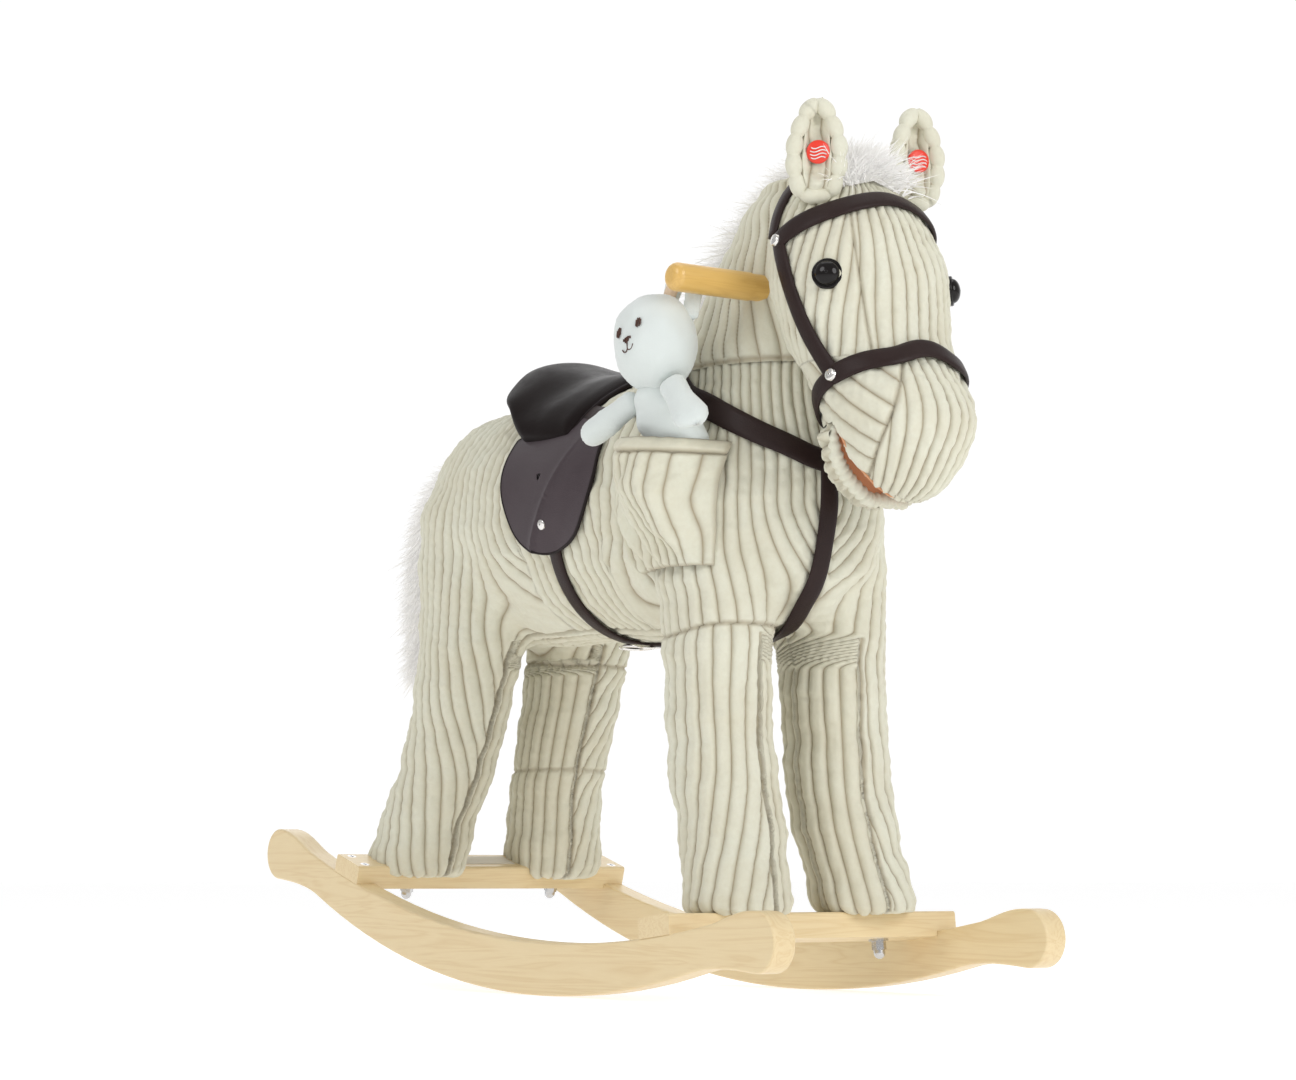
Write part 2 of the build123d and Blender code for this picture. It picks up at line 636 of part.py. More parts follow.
def limb(a, b, radius):
    """Round-ended soft limb."""
    return rod(a, b, radius) + Pos(*a) * Sphere(radius) + Pos(*b) * Sphere(radius)


rabbit_head = Pos(*RABBIT_HEAD) * scale(Sphere(1), by=RABBIT_HEAD_R)
rear_arm = limb((116, -122, 463), (76, -138, 448), 9)
front_arm = limb((134, -121, 463), (168, -125, 448), 9)
rabbit_body = along_z(RABBIT_TRUNK) + rear_arm + front_arm - rabbit_head
front_ear = limb((134, -112, 530), (136, -92, 574), 8)
rear_ear = limb((116, -112, 530), (114, -94, 568), 8)
rabbit_ears = [front_ear - rabbit_head, rear_ear - rabbit_head - front_ear]

for piece in [*beads, *eye_locks]:
    head_cover -= piece
neck_cover -= headstall
mane -= headstall

covers = {
    "body_cover": body_cover,
    "neck_cover": neck_cover,
    "head_cover": head_cover,
    "jaw_cover": jaw_cover,
    "mouth_lining": mouth_lining,
    "right_ear": ears["right"] - browband,
    "left_ear": ears["left"] - browband,
    "mane": mane,
    "tail_hair": tail_hair,
    "saddle_seat": saddle_seat,
    "right_saddle_flap": saddle_flap_right,
    "left_saddle_flap": saddle_flap_left,
    "girth_strap": girth_strap,
    "breast_strap": breast_strap - saddle_seat,
    "martingale_strap": martingale_strap,
    "browband": browband,
    "headstall": headstall,
    "noseband": noseband,
    "pocket_panel": pocket_panel,
    "rabbit_head": rabbit_head,
    "rabbit_body": rabbit_body,
    **legs,
}
for name, cover in covers.items():
    save(name, *[s for s in cover.solids() if s.volume > 300])
for name, group in {"girth_buckle": [buckle], "eye_beads": beads, "eye_locks": eye_locks,
                    "ear_stickers": stickers, "ear_switch_bases": ear_bases,
                    "right_ear_button": [ear_buttons["right"]], "left_ear_button": [ear_buttons["left"]],
                    "rivets": rivets, "rabbit_ears": rabbit_ears}.items():
    save(name, *group)
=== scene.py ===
"""Looks of the plush rocking horse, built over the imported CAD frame. Lengths in mm until new_mesh."""
import json
import math
import bpy
import numpy as np
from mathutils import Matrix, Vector
from mathutils.bvhtree import BVHTree

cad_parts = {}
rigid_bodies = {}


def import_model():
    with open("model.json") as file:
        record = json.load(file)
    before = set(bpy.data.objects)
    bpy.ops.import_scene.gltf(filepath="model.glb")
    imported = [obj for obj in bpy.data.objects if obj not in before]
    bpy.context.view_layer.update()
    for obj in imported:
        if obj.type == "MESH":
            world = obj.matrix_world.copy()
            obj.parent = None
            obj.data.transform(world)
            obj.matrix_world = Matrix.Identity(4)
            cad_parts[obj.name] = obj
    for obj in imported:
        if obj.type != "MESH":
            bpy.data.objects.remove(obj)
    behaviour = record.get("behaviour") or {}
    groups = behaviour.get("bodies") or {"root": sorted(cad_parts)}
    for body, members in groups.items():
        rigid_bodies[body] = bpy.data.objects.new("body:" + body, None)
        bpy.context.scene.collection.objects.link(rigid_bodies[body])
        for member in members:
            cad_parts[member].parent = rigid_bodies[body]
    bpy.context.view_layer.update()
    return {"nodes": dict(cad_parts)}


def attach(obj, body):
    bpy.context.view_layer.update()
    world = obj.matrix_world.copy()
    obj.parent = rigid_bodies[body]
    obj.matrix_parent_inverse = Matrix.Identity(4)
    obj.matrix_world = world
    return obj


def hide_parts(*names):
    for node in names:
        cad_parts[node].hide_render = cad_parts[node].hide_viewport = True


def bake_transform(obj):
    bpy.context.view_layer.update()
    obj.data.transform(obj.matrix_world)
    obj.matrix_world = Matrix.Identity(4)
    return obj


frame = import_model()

MM = 0.001
WALE = 12.6  # corduroy rib spacing
SIDES = ((-1, "right"), (1, "left"))
FAR = 300.0  # from here a ray meets the trunk from outside


# ------------------------------------------------------------------ numbers and noise
def ease(t):
    """0 below 0, 1 above 1, smooth between."""
    t = np.clip(t, 0.0, 1.0)
    return t * t * (3 - 2 * t)


def bump(t):
    """1 at 0, smoothly down to 0 at -1 and 1."""
    return ease(1 - np.abs(t))


def wander(p, size, seed=0, waves=7):
    """Smooth noise of about unit height over points p, with features of that size."""
    rng = np.random.default_rng(1000 + seed)
    k = rng.normal(size=(waves, 3))
    k *= (2 * math.pi / size) * rng.uniform(0.5, 1.3, (waves, 1)) / np.linalg.norm(k, axis=1)[:, None]
    phase = rng.uniform(0, 2 * math.pi, waves)
    return np.sin(np.asarray(p) @ k.T + phase).sum(axis=1) / math.sqrt(waves / 2)


def table_at(rows, z):
    """Smooth lookup of each column of rows at z, which is their first column."""
    rows = np.asarray(rows, float)
    order = np.argsort(rows[:, 0])
    rows = rows[order]
    z = np.clip(np.asarray(z, float), rows[0, 0], rows[-1, 0])
    i = np.clip(np.searchsorted(rows[:, 0], z) - 1, 0, len(rows) - 2)
    slopes = np.gradient(rows[:, 1:], rows[:, 0], axis=0)
    h = rows[i + 1, 0] - rows[i, 0]
    t = ((z - rows[i, 0]) / h)[..., None]
    h = h[..., None]
    a, b, ma, mb = rows[i, 1:], rows[i + 1, 1:], slopes[i] * h, slopes[i + 1] * h
    return (2 * t**3 - 3 * t**2 + 1) * a + (t**3 - 2 * t**2 + t) * ma + (-2 * t**3 + 3 * t**2) * b + (
        t**3 - t**2
    ) * mb


def curve_through(points, step):
    """Points along a smooth line through the given ones, about step apart."""
    points = np.asarray(points, float)
    d = np.concatenate([[0], np.cumsum(np.linalg.norm(np.diff(points, axis=0), axis=1))])
    s = np.linspace(0, d[-1], max(int(d[-1] / step), 2) + 1)
    return table_at(np.column_stack([d, points]), s)


def unit(rows):
    """Each vector scaled to length 1."""
    rows = np.asarray(rows, float)
    return rows / np.linalg.norm(rows, axis=-1, keepdims=True)


def circle(count):
    """Angles all round a circle."""
    return np.linspace(0, 2 * math.pi, count, endpoint=False)


def ring(u, v, sides):
    """Points of the unit circle in the plane of u and v."""
    a = circle(sides)
    return np.cos(a)[:, None] * u + np.sin(a)[:, None] * v


# ------------------------------------------------------------------ meshes
def grid_quads(rows, cols, wrap=False):
    """Quads of a grid of points, row by row; wrap joins the last column to the first."""
    i = np.arange(rows - 1)[:, None] * cols
    last = cols if wrap else cols - 1
    j = np.arange(last)[None, :]
    k = (j + 1) % cols
    return np.stack([i + j, i + k, i + cols + k, i + cols + j], axis=-1).reshape(-1, 4)


def new_mesh(name, verts, faces, material, values=None, smooth=True):
    """Mesh object from points in mm. values: point attributes {name: array}."""
    me = bpy.data.meshes.new(name)
    verts = np.asarray(verts, float)
    if isinstance(faces, np.ndarray):
        n = faces.shape[1]
        me.vertices.add(len(verts))
        me.loops.add(faces.size)
        me.polygons.add(len(faces))
        me.vertices.foreach_set("co", (verts * MM).ravel())
        me.loops.foreach_set("vertex_index", faces.ravel().astype(np.int32))
        me.polygons.foreach_set("loop_start", np.arange(0, faces.size, n, dtype=np.int32))
        me.update(calc_edges=True)
        me.validate()
    else:
        me.from_pydata((verts * MM).tolist(), [], faces)
    for key, array in (values or {}).items():
        layer = me.attributes.new(key, "FLOAT", "POINT")
        layer.data.foreach_set("value", np.asarray(array, np.float32))
    me.polygons.foreach_set("use_smooth", [smooth] * len(me.polygons))
    me.materials.append(material)
    obj = bpy.data.objects.new(name, me)
    bpy.context.scene.collection.objects.link(obj)
    return obj


def read_mesh(obj):
    """Points in mm, quads or triangles as arrays, and point normals of obj with its modifiers."""
    dg = bpy.context.evaluated_depsgraph_get()
    done = obj.evaluated_get(dg)
    me = done.to_mesh()
    co = np.empty(len(me.vertices) * 3, np.float32)
    me.vertices.foreach_get("co", co)
    no = np.empty(len(me.vertices) * 3, np.float32)
    me.vertex_normals.foreach_get("vector", no)
    loops = np.empty(len(me.loops), np.int32)
    me.loops.foreach_get("vertex_index", loops)
    totals = np.empty(len(me.polygons), np.int32)
    me.polygons.foreach_get("loop_total", totals)
    done.to_mesh_clear()
    if (totals == 4).all():
        faces = loops.reshape(-1, 4)
    else:
        starts = np.concatenate([[0], np.cumsum(totals)[:-1]])
        faces = [tuple(loops[s:s + t]) for s, t in zip(starts, totals)]
    return co.reshape(-1, 3).astype(float) / MM, faces, no.reshape(-1, 3).astype(float)


def remove(obj):
    """Deletes an object and its mesh."""
    me = obj.data
    bpy.data.objects.remove(obj)
    bpy.data.meshes.remove(me)


def normals_of(verts, quads):
    """Point normals of a quad mesh."""
    a, b, c, d = (verts[quads[:, i]] for i in range(4))
    n = np.cross(c - a, d - b)
    out = np.zeros_like(verts)
    for i in range(4):
        np.add.at(out, quads[:, i], n)
    return out / np.maximum(np.linalg.norm(out, axis=1), 1e-9)[:, None]


def outward(p, quads):
    """Quads turned to face away from the points' middle, and their point normals."""
    n = normals_of(p, quads)
    if (n * (p - p.mean(axis=0))).sum() < 0:
        return quads[:, ::-1], -n
    return quads, n


def part_of(verts, quads, keep, values):
    """The kept faces with only their own points."""
    quads = quads[keep]
    used, back = np.unique(quads, return_inverse=True)
    return verts[used], back.reshape(quads.shape), {k: v[used] for k, v in values.items()}


def tree_of(grid):
    """Search tree of a closed tube grid's surface."""
    quads = grid_quads(*grid.shape[:2], wrap=True)
    return BVHTree.FromPolygons(grid.reshape(-1, 3).tolist(), quads.tolist())


def thicken(obj, thickness, offset=-1):
    """Gives a sheet its thickness, in metres."""
    thick = obj.modifiers.new("thick", "SOLIDIFY")
    thick.thickness = thickness
    thick.offset = offset


def settle(obj, body="horse", nodes=()):
    """The body a piece rides and the CAD nodes it replaces."""
    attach(obj, body)
    if nodes:
        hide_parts(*nodes)


# ------------------------------------------------------------------ materials
def node_material(name, base, rough, **sockets):
    """Principled material; sockets set the shader's own inputs."""
    mat = bpy.data.materials.new(name)
    mat.use_nodes = True
    tree = mat.node_tree
    shader = tree.nodes["Principled BSDF"]
    shader.inputs["Base Color"].default_value = (*base, 1)
    shader.inputs["Roughness"].default_value = rough
    for key, value in sockets.items():
        shader.inputs[key.replace("_", " ")].default_value = value
    return mat, tree, shader


class Tree:
    """Short ways to add and join shader nodes."""

    def __init__(self, tree):
        self.tree = tree
        self.coord = None

    def add(self, kind, **props):
        node = self.tree.nodes.new(kind)
        for key, value in props.items():
            setattr(node, key, value)
        return node

    def link(self, a, b):
        self.tree.links.new(a, b)

    def place(self, node, *values):
        for socket, value in zip(node.inputs, values):
            if value is None:
                continue
            if hasattr(value, "is_output"):
                self.link(value, socket)
            else:
                socket.default_value = value
        return node.outputs[0]

    def math(self, op, a, b=None):
        return self.place(self.add("ShaderNodeMath", operation=op), a, b)

    def times(self, a, b):
        return self.math("MULTIPLY", a, b)

    def plus(self, a, b):
        return self.math("ADD", a, b)

    def attribute(self, name):
        return self.add("ShaderNodeAttribute", attribute_name=name).outputs["Fac"]

    def position(self):
        if self.coord is None:
            self.coord = self.add("ShaderNodeTexCoord").outputs["Object"]
        return self.coord

    def scaled(self, x, y, z):
        node = self.add("ShaderNodeMapping")
        self.link(self.position(), node.inputs["Vector"])
        node.inputs["Scale"].default_value = (x, y, z)
        return node.outputs[0]

    def noise(self, scale, detail=3, rough=0.5, vector=None, distortion=0.0):
        node = self.add("ShaderNodeTexNoise")
        self.link(vector or self.position(), node.inputs["Vector"])
        node.inputs["Scale"].default_value = scale
        node.inputs["Detail"].default_value = detail
        node.inputs["Roughness"].default_value = rough
        node.inputs["Distortion"].default_value = distortion
        return node.outputs["Fac"]

    def ramp(self, value, *stops):
        node = self.add("ShaderNodeValToRGB")
        self.link(value, node.inputs["Fac"])
        elements = node.color_ramp.elements
        while len(elements) < len(stops):
            elements.new(0.5)
        for element, (at, colour) in zip(elements, stops):
            element.position = at
            element.color = (*colour, 1) if len(colour) == 3 else colour
        return node.outputs["Color"]

    def mix(self, factor, a, b, blend="MIX"):
        node = self.add("ShaderNodeMix", data_type="RGBA", blend_type=blend)
        for socket, value in ((node.inputs["Factor"], factor), (node.inputs[6], a), (node.inputs[7], b)):
            if hasattr(value, "is_output"):
                self.link(value, socket)
            else:
                socket.default_value = value if isinstance(value, float) else (*value, 1)
        return node.outputs[2]

    def bump(self, height, strength, distance, before=None):
        node = self.add("ShaderNodeBump")
        node.inputs["Strength"].default_value = strength
        node.inputs["Distance"].default_value = distance
        self.link(height, node.inputs["Height"])
        if before is not None:
            self.link(before, node.inputs["Normal"])
        return node.outputs["Normal"]


def corduroy(name, light, shade, groove):
    """Wide-rib corduroy, with painted shade in the rib grooves and on the seams. Attribute wale counts ribs,
    seam is 1 on a seam, tone is the pile's lie.
    """
    mat, tree, shader = node_material(name, light, 0.95, Sheen_Weight=0.35, Sheen_Roughness=0.45,
                                      Specular_IOR_Level=0.15)
    shader.inputs["Sheen Tint"].default_value = (1.0, 0.97, 0.90, 1)
    t = Tree(tree)
    wale = t.math("FRACT", t.attribute("wale"))
    across = t.math("ABSOLUTE", t.math("SUBTRACT", t.times(wale, 2.0), 1.0))
    rib = t.math("SUBTRACT", 1.0, t.math("POWER", across, 3.0))
    seam = t.attribute("seam")
    deep = t.math("POWER", across, 7.0)
    pile = t.noise(1500, 4, 0.7)
    fluff = t.noise(330, 4, 0.62)
    patches = t.noise(24, 3, 0.55)
    tint = t.mix(t.times(fluff, 0.55), light, shade)
    tint = t.mix(t.ramp(patches, (0.35, (0, 0, 0)), (0.75, (0.5, 0.5, 0.5))), tint, shade)
    tint = t.mix(t.attribute("tone"), tint, shade)
    # painted shade: the rib grooves and the seams are darkened towards the groove colour
    dark = t.math("MAXIMUM", t.times(deep, 0.85), t.times(seam, 0.7))
    tint = t.mix(dark, tint, groove)
    t.link(tint, shader.inputs["Base Color"])
    height = t.plus(rib, t.times(fluff, 0.45))
    height = t.plus(height, t.times(pile, 0.25))
    t.link(t.bump(height, 0.55, 0.0016), shader.inputs["Normal"])
    return mat


def wood(name, light, dark, along, gloss, scale=1.0):
    """Lacquered wood; along is 0, 1 or 2, the axis that the grain follows."""
    mat, tree, shader = node_material(name, light, gloss, Coat_Weight=0.25, Coat_Roughness=0.25)
    t = Tree(tree)
    stretch = [1.0, 1.0, 1.0]
    stretch[along] = 0.06
    grain_space = t.scaled(*stretch)
    rings = t.noise(55 * scale, 3, 0.55, grain_space, 0.7)
    lines = t.math("FRACT", t.times(rings, 9.0))
    lines = t.math("ABSOLUTE", t.math("SUBTRACT", t.times(lines, 2.0), 1.0))
    fibre = t.noise(900 * scale, 3, 0.6, grain_space)
    cloud = t.noise(14, 2, 0.5)
    colour = t.mix(t.times(t.math("POWER", lines, 2.0), 0.42), light, dark)
    colour = t.mix(t.times(fibre, 0.35), colour, dark)
    colour = t.mix(t.times(cloud, 0.3), colour, light)
    t.link(colour, shader.inputs["Base Color"])
    t.link(t.bump(t.plus(fibre, t.times(lines, 0.4)), 0.12, 0.0004), shader.inputs["Normal"])
    t.link(t.plus(t.times(fibre, 0.15), gloss - 0.05), shader.inputs["Roughness"])
    return mat


def faux_leather(name, base, gloss=0.16):
    """Leather cloth with a fine grain, a little paler where it is worn."""
    mat, tree, shader = node_material(name, base, 0.42, Specular_IOR_Level=gloss)
    t = Tree(tree)
    grain = t.add("ShaderNodeTexVoronoi")
    t.link(t.position(), grain.inputs["Vector"])
    grain.inputs["Scale"].default_value = 900
    soft = t.noise(60, 4, 0.6)
    worn = tuple(min(1.0, c * 1.6 + 0.004) for c in base)
    t.link(t.mix(t.times(soft, 0.55), base, worn), shader.inputs["Base Color"])
    t.link(t.plus(t.times(soft, 0.22), 0.30), shader.inputs["Roughness"])
    height = t.plus(grain.outputs["Distance"], t.times(soft, 1.5))
    t.link(t.bump(height, 0.22, 0.0006), shader.inputs["Normal"])
    return mat


def speckled(name, base, other, rough, scale, bump=0.1, amount=0.5, **sockets):
    """Surface with a fine mottle in colour, roughness and relief."""
    mat, tree, shader = node_material(name, base, rough, **sockets)
    t = Tree(tree)
    fine = t.noise(scale, 4, 0.6)
    broad = t.noise(scale / 25, 3, 0.5)
    colour = t.mix(t.times(fine, amount), base, other)
    colour = t.mix(t.times(broad, amount * 0.6), colour, other)
    t.link(colour, shader.inputs["Base Color"])
    t.link(t.plus(t.times(fine, 0.12), rough - 0.05), shader.inputs["Roughness"])
    t.link(t.bump(fine, bump, 0.0006), shader.inputs["Normal"])
    return mat


# the third colour is painted shade, laid in the rib grooves and on the seams
CREAM = corduroy("corduroy cream", (0.715, 0.72, 0.61), (0.60, 0.555, 0.42), (0.30, 0.235, 0.145))
PINE = wood("pale pine", (0.80, 0.655, 0.40), (0.62, 0.42, 0.19), 0, 0.42)
PINE_ACROSS = wood("pale pine across", (0.80, 0.655, 0.40), (0.62, 0.42, 0.19), 1, 0.42)
HONEY = wood("honey lacquer", (0.72, 0.46, 0.135), (0.56, 0.31, 0.065), 1, 0.28, 1.4)
FRAME_WOOD = wood("frame wood", (0.72, 0.56, 0.36), (0.55, 0.38, 0.2), 0, 0.6)
BROWN = faux_leather("brown faux leather", (0.022, 0.0125, 0.0115))
# lit and shaded copies of one faux leather: the seat's copy is darkened as painted shade, the flap's copy
# lightened as a painted gloss highlight
SHADED_SEAT_BROWN = faux_leather("seat faux leather", (0.008, 0.005, 0.0048), 0.06)
HIGHLIT_FLAP_BROWN = faux_leather("flap faux leather", (0.054, 0.041, 0.046))
PIPING = faux_leather("dark piping", (0.010, 0.006, 0.006))
# painted glow: the white fur gives off a little light of its own to look brighter
GLOWING_FUR = speckled("white fur", (0.90, 0.89, 0.875), (0.82, 0.805, 0.785), 0.9, 600, Sheen_Weight=0.3,
               Emission_Strength=0.10)
VELOUR = speckled("white velour", (0.70, 0.745, 0.725), (0.60, 0.645, 0.625), 0.95, 1400, 0.5, 0.5,
                  Sheen_Weight=0.5, Sheen_Roughness=0.5)
BEIGE = speckled("beige velour", (0.74, 0.58, 0.42), (0.62, 0.46, 0.32), 0.95, 1400, 0.4,
                 Sheen_Weight=0.4)
LINING = speckled("mouth lining", (0.72, 0.37, 0.20), (0.62, 0.29, 0.15), 0.9, 1200, 0.4)
ZINC = speckled("zinc plate", (0.62, 0.62, 0.62), (0.48, 0.48, 0.5), 0.25, 500, 0.05, Metallic=1.0)
SILVER = speckled("rivet silver", (0.85, 0.83, 0.80), (0.7, 0.68, 0.66), 0.2, 400, 0.04, Metallic=1.0)
EYE_BLACK = speckled("eye black", (0.004, 0.003, 0.003), (0.009, 0.006, 0.005), 0.10, 300, 0.01,
                     Specular_IOR_Level=0.12, Coat_Weight=0.35, Coat_Roughness=0.02)
RED = speckled("sticker red", (0.80, 0.045, 0.02), (0.66, 0.03, 0.015), 0.35, 700, 0.1)
THREAD = speckled("thread", (0.09, 0.035, 0.022), (0.05, 0.02, 0.012), 0.7, 2000, 0.6)
WHITE = speckled("moulded white", (0.78, 0.78, 0.76), (0.70, 0.70, 0.68), 0.5, 900, 0.08)
PAPER = speckled("label paper", (0.74, 0.69, 0.60), (0.66, 0.60, 0.50), 0.8, 1200, 0.1)
GREEN = speckled("cell sleeve", (0.03, 0.12, 0.06), (0.02, 0.08, 0.04), 0.4, 700, 0.05)
BLACK = speckled("switch black", (0.02, 0.02, 0.02), (0.03, 0.03, 0.03), 0.5, 900, 0.1)


# ------------------------------------------------------------------ shapes of the padded body
# x, centre z, half height, half width
TORSO = [
    (-338, 405, 3, 3), (-334, 405, 32, 24), (-319, 405, 64, 50), (-281, 402, 95, 78), (-200, 400, 105, 98),
    (-80, 397, 107, 104), (40, 393, 110, 103), (120, 386, 103, 93), (176, 379, 76, 66), (198, 376, 40, 35),
    (204, 375, 3, 3),
]
# z, centre x, centre y, half length, half width
NECK = [
    (380, 96, 0, 92, 80), (440, 93, 0, 100, 81), (490, 103, 0, 88, 68), (540, 127, 0, 72, 57),
    (590, 155, 0, 59, 49), (625, 173, 0, 44, 40), (640, 182, 0, 24, 22), (643, 182, 0, 4, 4),
]
REAR_LEG = [
    (92, -309, 71, 44, 43), (103, -307, 71, 46, 44), (140, -297, 67, 44, 43), (170, -285, 61, 44, 42),
    (200, -272, 58, 45, 42), (260, -251, 57, 51, 43), (320, -238, 56, 62, 42), (380, -236, 54, 66, 44),
    (430, -236, 50, 50, 36), (450, -236, 48, 8, 6),
]
FRONT_LEG = [
    (63, 157, 62, 43, 42), (72, 155, 62, 44, 43), (86, 152, 60, 43, 42), (102, 147, 59, 42, 42),
    (122, 142, 56, 43, 42), (160, 132, 56, 44, 42), (200, 127, 57, 45, 41), (240, 124, 57, 47, 41),
    (300, 121, 57, 51, 41), (360, 118, 57, 50, 42), (400, 115, 56, 38, 38), (416, 115, 54, 6, 6),
]
NECK_SEAM = 494.0  # height at which the body's cloth meets the head's
LEG_SEAM = 284  # height at which the legs' cloth meets the trunk's
LEG_INSIDE = 1.72  # angle from which a leg's inner panel runs
RUMP_X, CHEST_X = -236, 112  # the upright ribs start to fan out here


def tube_x(rows, step, around):
    """Grid of points on upright ellipses along x."""
    xs = np.arange(rows[0][0], rows[-1][0] + step, step)
    zc, h, w = table_at(rows, xs).T
    a = circle(around)
    return np.stack([
        np.repeat(xs[:, None], around, 1),
        np.maximum(w, 1)[:, None] * np.sin(a),
        zc[:, None] + np.maximum(h, 1)[:, None] * np.cos(a),
    ], axis=-1)


def tube_z(rows, step, around, side=1):
    """Grid of points on level ellipses along z."""
    zs = np.arange(rows[0][0], rows[-1][0] + step, step)
    xc, yc, h, w = table_at(rows, zs).T
    a = circle(around)
    return np.stack([
        xc[:, None] + np.maximum(h, 1)[:, None] * np.cos(a),
        side * (yc[:, None] + np.maximum(w, 1)[:, None] * np.sin(a)),
        np.repeat(zs[:, None], around, 1),
    ], axis=-1)


def capped(grid, flip=False):
    """Closed mesh of a tube grid: points and faces, with a fan at each end."""
    rows, cols = grid.shape[:2]
    faces = [tuple(f) for f in grid_quads(rows, cols, wrap=True)]
    faces += [tuple(range(cols)), tuple(range(rows * cols - 1, (rows - 1) * cols - 1, -1))]
    if flip:
        faces = [f[::-1] for f in faces]
    return grid.reshape(-1, 3), faces


def voxel_body():
    """Trunk, shoulders and legs melted into one smooth skin: points, quads and normals."""
    shapes = [
        capped(tube_x(TORSO, 6, 64)),
        capped(tube_z([r for r in NECK if r[0] < 600], 6, 48), True),
    ]
    for rows in (REAR_LEG, FRONT_LEG):
        for side in (1, -1):
            shapes.append(capped(tube_z(rows, 6, 40, side), side > 0))
    parts = [new_mesh("lump", points, faces, CREAM) for points, faces in shapes]
    for obj in bpy.context.scene.objects:
        obj.select_set(obj in parts)
    bpy.context.view_layer.objects.active = parts[0]
    bpy.ops.object.join()
    lump = parts[0]
    lump.select_set(False)
    remesh = lump.modifiers.new("skin", "REMESH")
    remesh.mode = "VOXEL"
    remesh.voxel_size = 0.0058
    smooth = lump.modifiers.new("melt", "SMOOTH")
    smooth.factor = 0.5
    smooth.iterations = 14
    fine = lump.modifiers.new("fine", "SUBSURF")
    fine.levels = 2
    fine.render_levels = 2
    points, quads, normals = read_mesh(lump)
    remove(lump)
    return points, quads, normals


# ------------------------------------------------------------------ ribs
def rib_height(phase, depth=2.9, crest=2.6):
    """Height of the cloth at rib phase, 0 on a crest and -depth in a groove."""
    across = np.abs(2 * (phase - np.floor(phase)) - 1)
    return -depth * across**crest


def body_ribs(p):
    """Rib phase, seam strength and tone on the trunk and legs."""
    x, y, z = p.T
    out = np.abs(y)
    left = y > 0
    # trunk: upright ribs, counted along x and then round the rump and chest
    rump = np.arctan2(RUMP_X - x, np.maximum(out, 1e-3))
    chest = np.arctan2(x - CHEST_X, np.maximum(out, 1e-3))
    u = np.where(x < RUMP_X, RUMP_X - 98 * rump, np.where(x > CHEST_X, CHEST_X + 104 * chest, x))
    u = u + 3.0 * np.sin(z / 75.0) * ease((x - 20) / 80) - 0.06 * (z - 380) * ease(-(x + 150) / 120)
    phase = u / WALE + 0.13 * wander(p, 90, 1)
    seam = np.zeros(len(p))
    tone = np.zeros(len(p))
    # legs: ribs run with the leg and turn round it
    for rows, lo, hi in ((REAR_LEG, 300, 392), (FRONT_LEG, 285, 385)):
        here = (x < -100) if rows is REAR_LEG else (x > 20)
        cx, cy, a, b = table_at(rows, z).T
        turn = np.arctan2(x - cx, out - cy)
        radius = 0.5 * (a + 42)
        leg = cx + radius * turn
        rise = 1 - ease((z - lo) / (hi - lo))
        rise = np.where(here, rise, 0)
        pitch = WALE if rows is REAR_LEG else 1.12 * WALE
        phase_leg = leg / pitch + 0.10 * wander(p, 80, 3) + 0.22
        inner = ease((np.abs(turn) - LEG_INSIDE) * 14) * (z < lo)
        phase_in = 44 * turn / pitch + 0.4
        share = inner * ease((lo - z) / 30)
        phase_leg = phase_leg * (1 - share) + phase_in * share
        phase = phase * (1 - rise) + phase_leg * rise
        edge = bump((np.abs(turn) - LEG_INSIDE) * radius / 3.0) * (z < lo - 4) * here
        seam = np.maximum(seam, edge)
        tone = np.maximum(tone, 0.22 * inner * rise)
    # a cross seam high on two of the legs, and the belly gore
    knee_front = (x > 20) & (~left) & (z < 300)
    knee_rear = (x < -100) & left & (z < 300)
    level = np.where(knee_front, 283 + 4 * np.sin(x / 22), 281 + 3 * np.sin(x / 25))
    seam = np.maximum(seam, 0.8 * bump((z - level) / 3.2) * (knee_front | knee_rear))
    seam = np.maximum(seam, 0.6 * bump((z - 188) / 3.0) * knee_rear)
    phase = np.where(knee_front & (z < level), phase + 0.37, phase)
    phase = np.where(knee_rear & (z < level), phase + 0.31, phase)
    gore = (out < 38) & (z < 345) & (z > LEG_SEAM) & (x < 100)
    phase = np.where(gore, y / WALE + 0.05 * wander(p, 90, 5), phase)
    seam = np.maximum(seam, bump((out - 38) / 3.0) * (z < 345) * (z > LEG_SEAM) * (x < 100))
    seam = np.maximum(seam, bump(y / 3.0) * (z > 352) * (x < 30))
    seam = np.maximum(seam, 0.8 * bump((z - NECK_SEAM) / 3.0) * (x > -30))
    return phase, seam, tone


def rib_cloth(p, normals, phase, seam, puckers=0.7, depth=2.9, seed=0):
    """Points moved out to the ribbed, stuffed and puckered cloth."""
    h = rib_height(phase, depth)
    h += 0.32 * wander(p, 9, seed + 11) * (1 - seam)
    h += puckers * wander(p * np.array([0.55, 0.55, 1.7]), 46, seed + 12)
    h -= 2.6 * seam
    near = np.clip(1 - np.abs(seam - 0.25) / 0.25, 0, 1)
    h += 0.8 * near * np.sin(phase * math.pi * 1.3)
    return p + normals * h[:, None]


skin, skin_quads, skin_normals = voxel_body()
HATCH_X, HATCH_HALF_X, HATCH_HALF_Y = -133.0, 38.0, 28.5  # cloth over the battery door
HATCH_TOP = 330  # the hatch is in the belly, below this
GIRTH_X = -46.0  # the trunk's cloth is pieced under the girth
HATCH, NOWHERE = 6, 9  # piece numbers: the hatch, and the tail's slot, which has no cloth


def from_hatch(p):
    """Distance outside the hatch's outline, negative inside it."""
    out = np.maximum(np.abs(p[:, 0] - HATCH_X) - HATCH_HALF_X, np.abs(p[:, 1]) - HATCH_HALF_Y)
    return np.where(p[:, 2] < HATCH_TOP, out, 99.0)


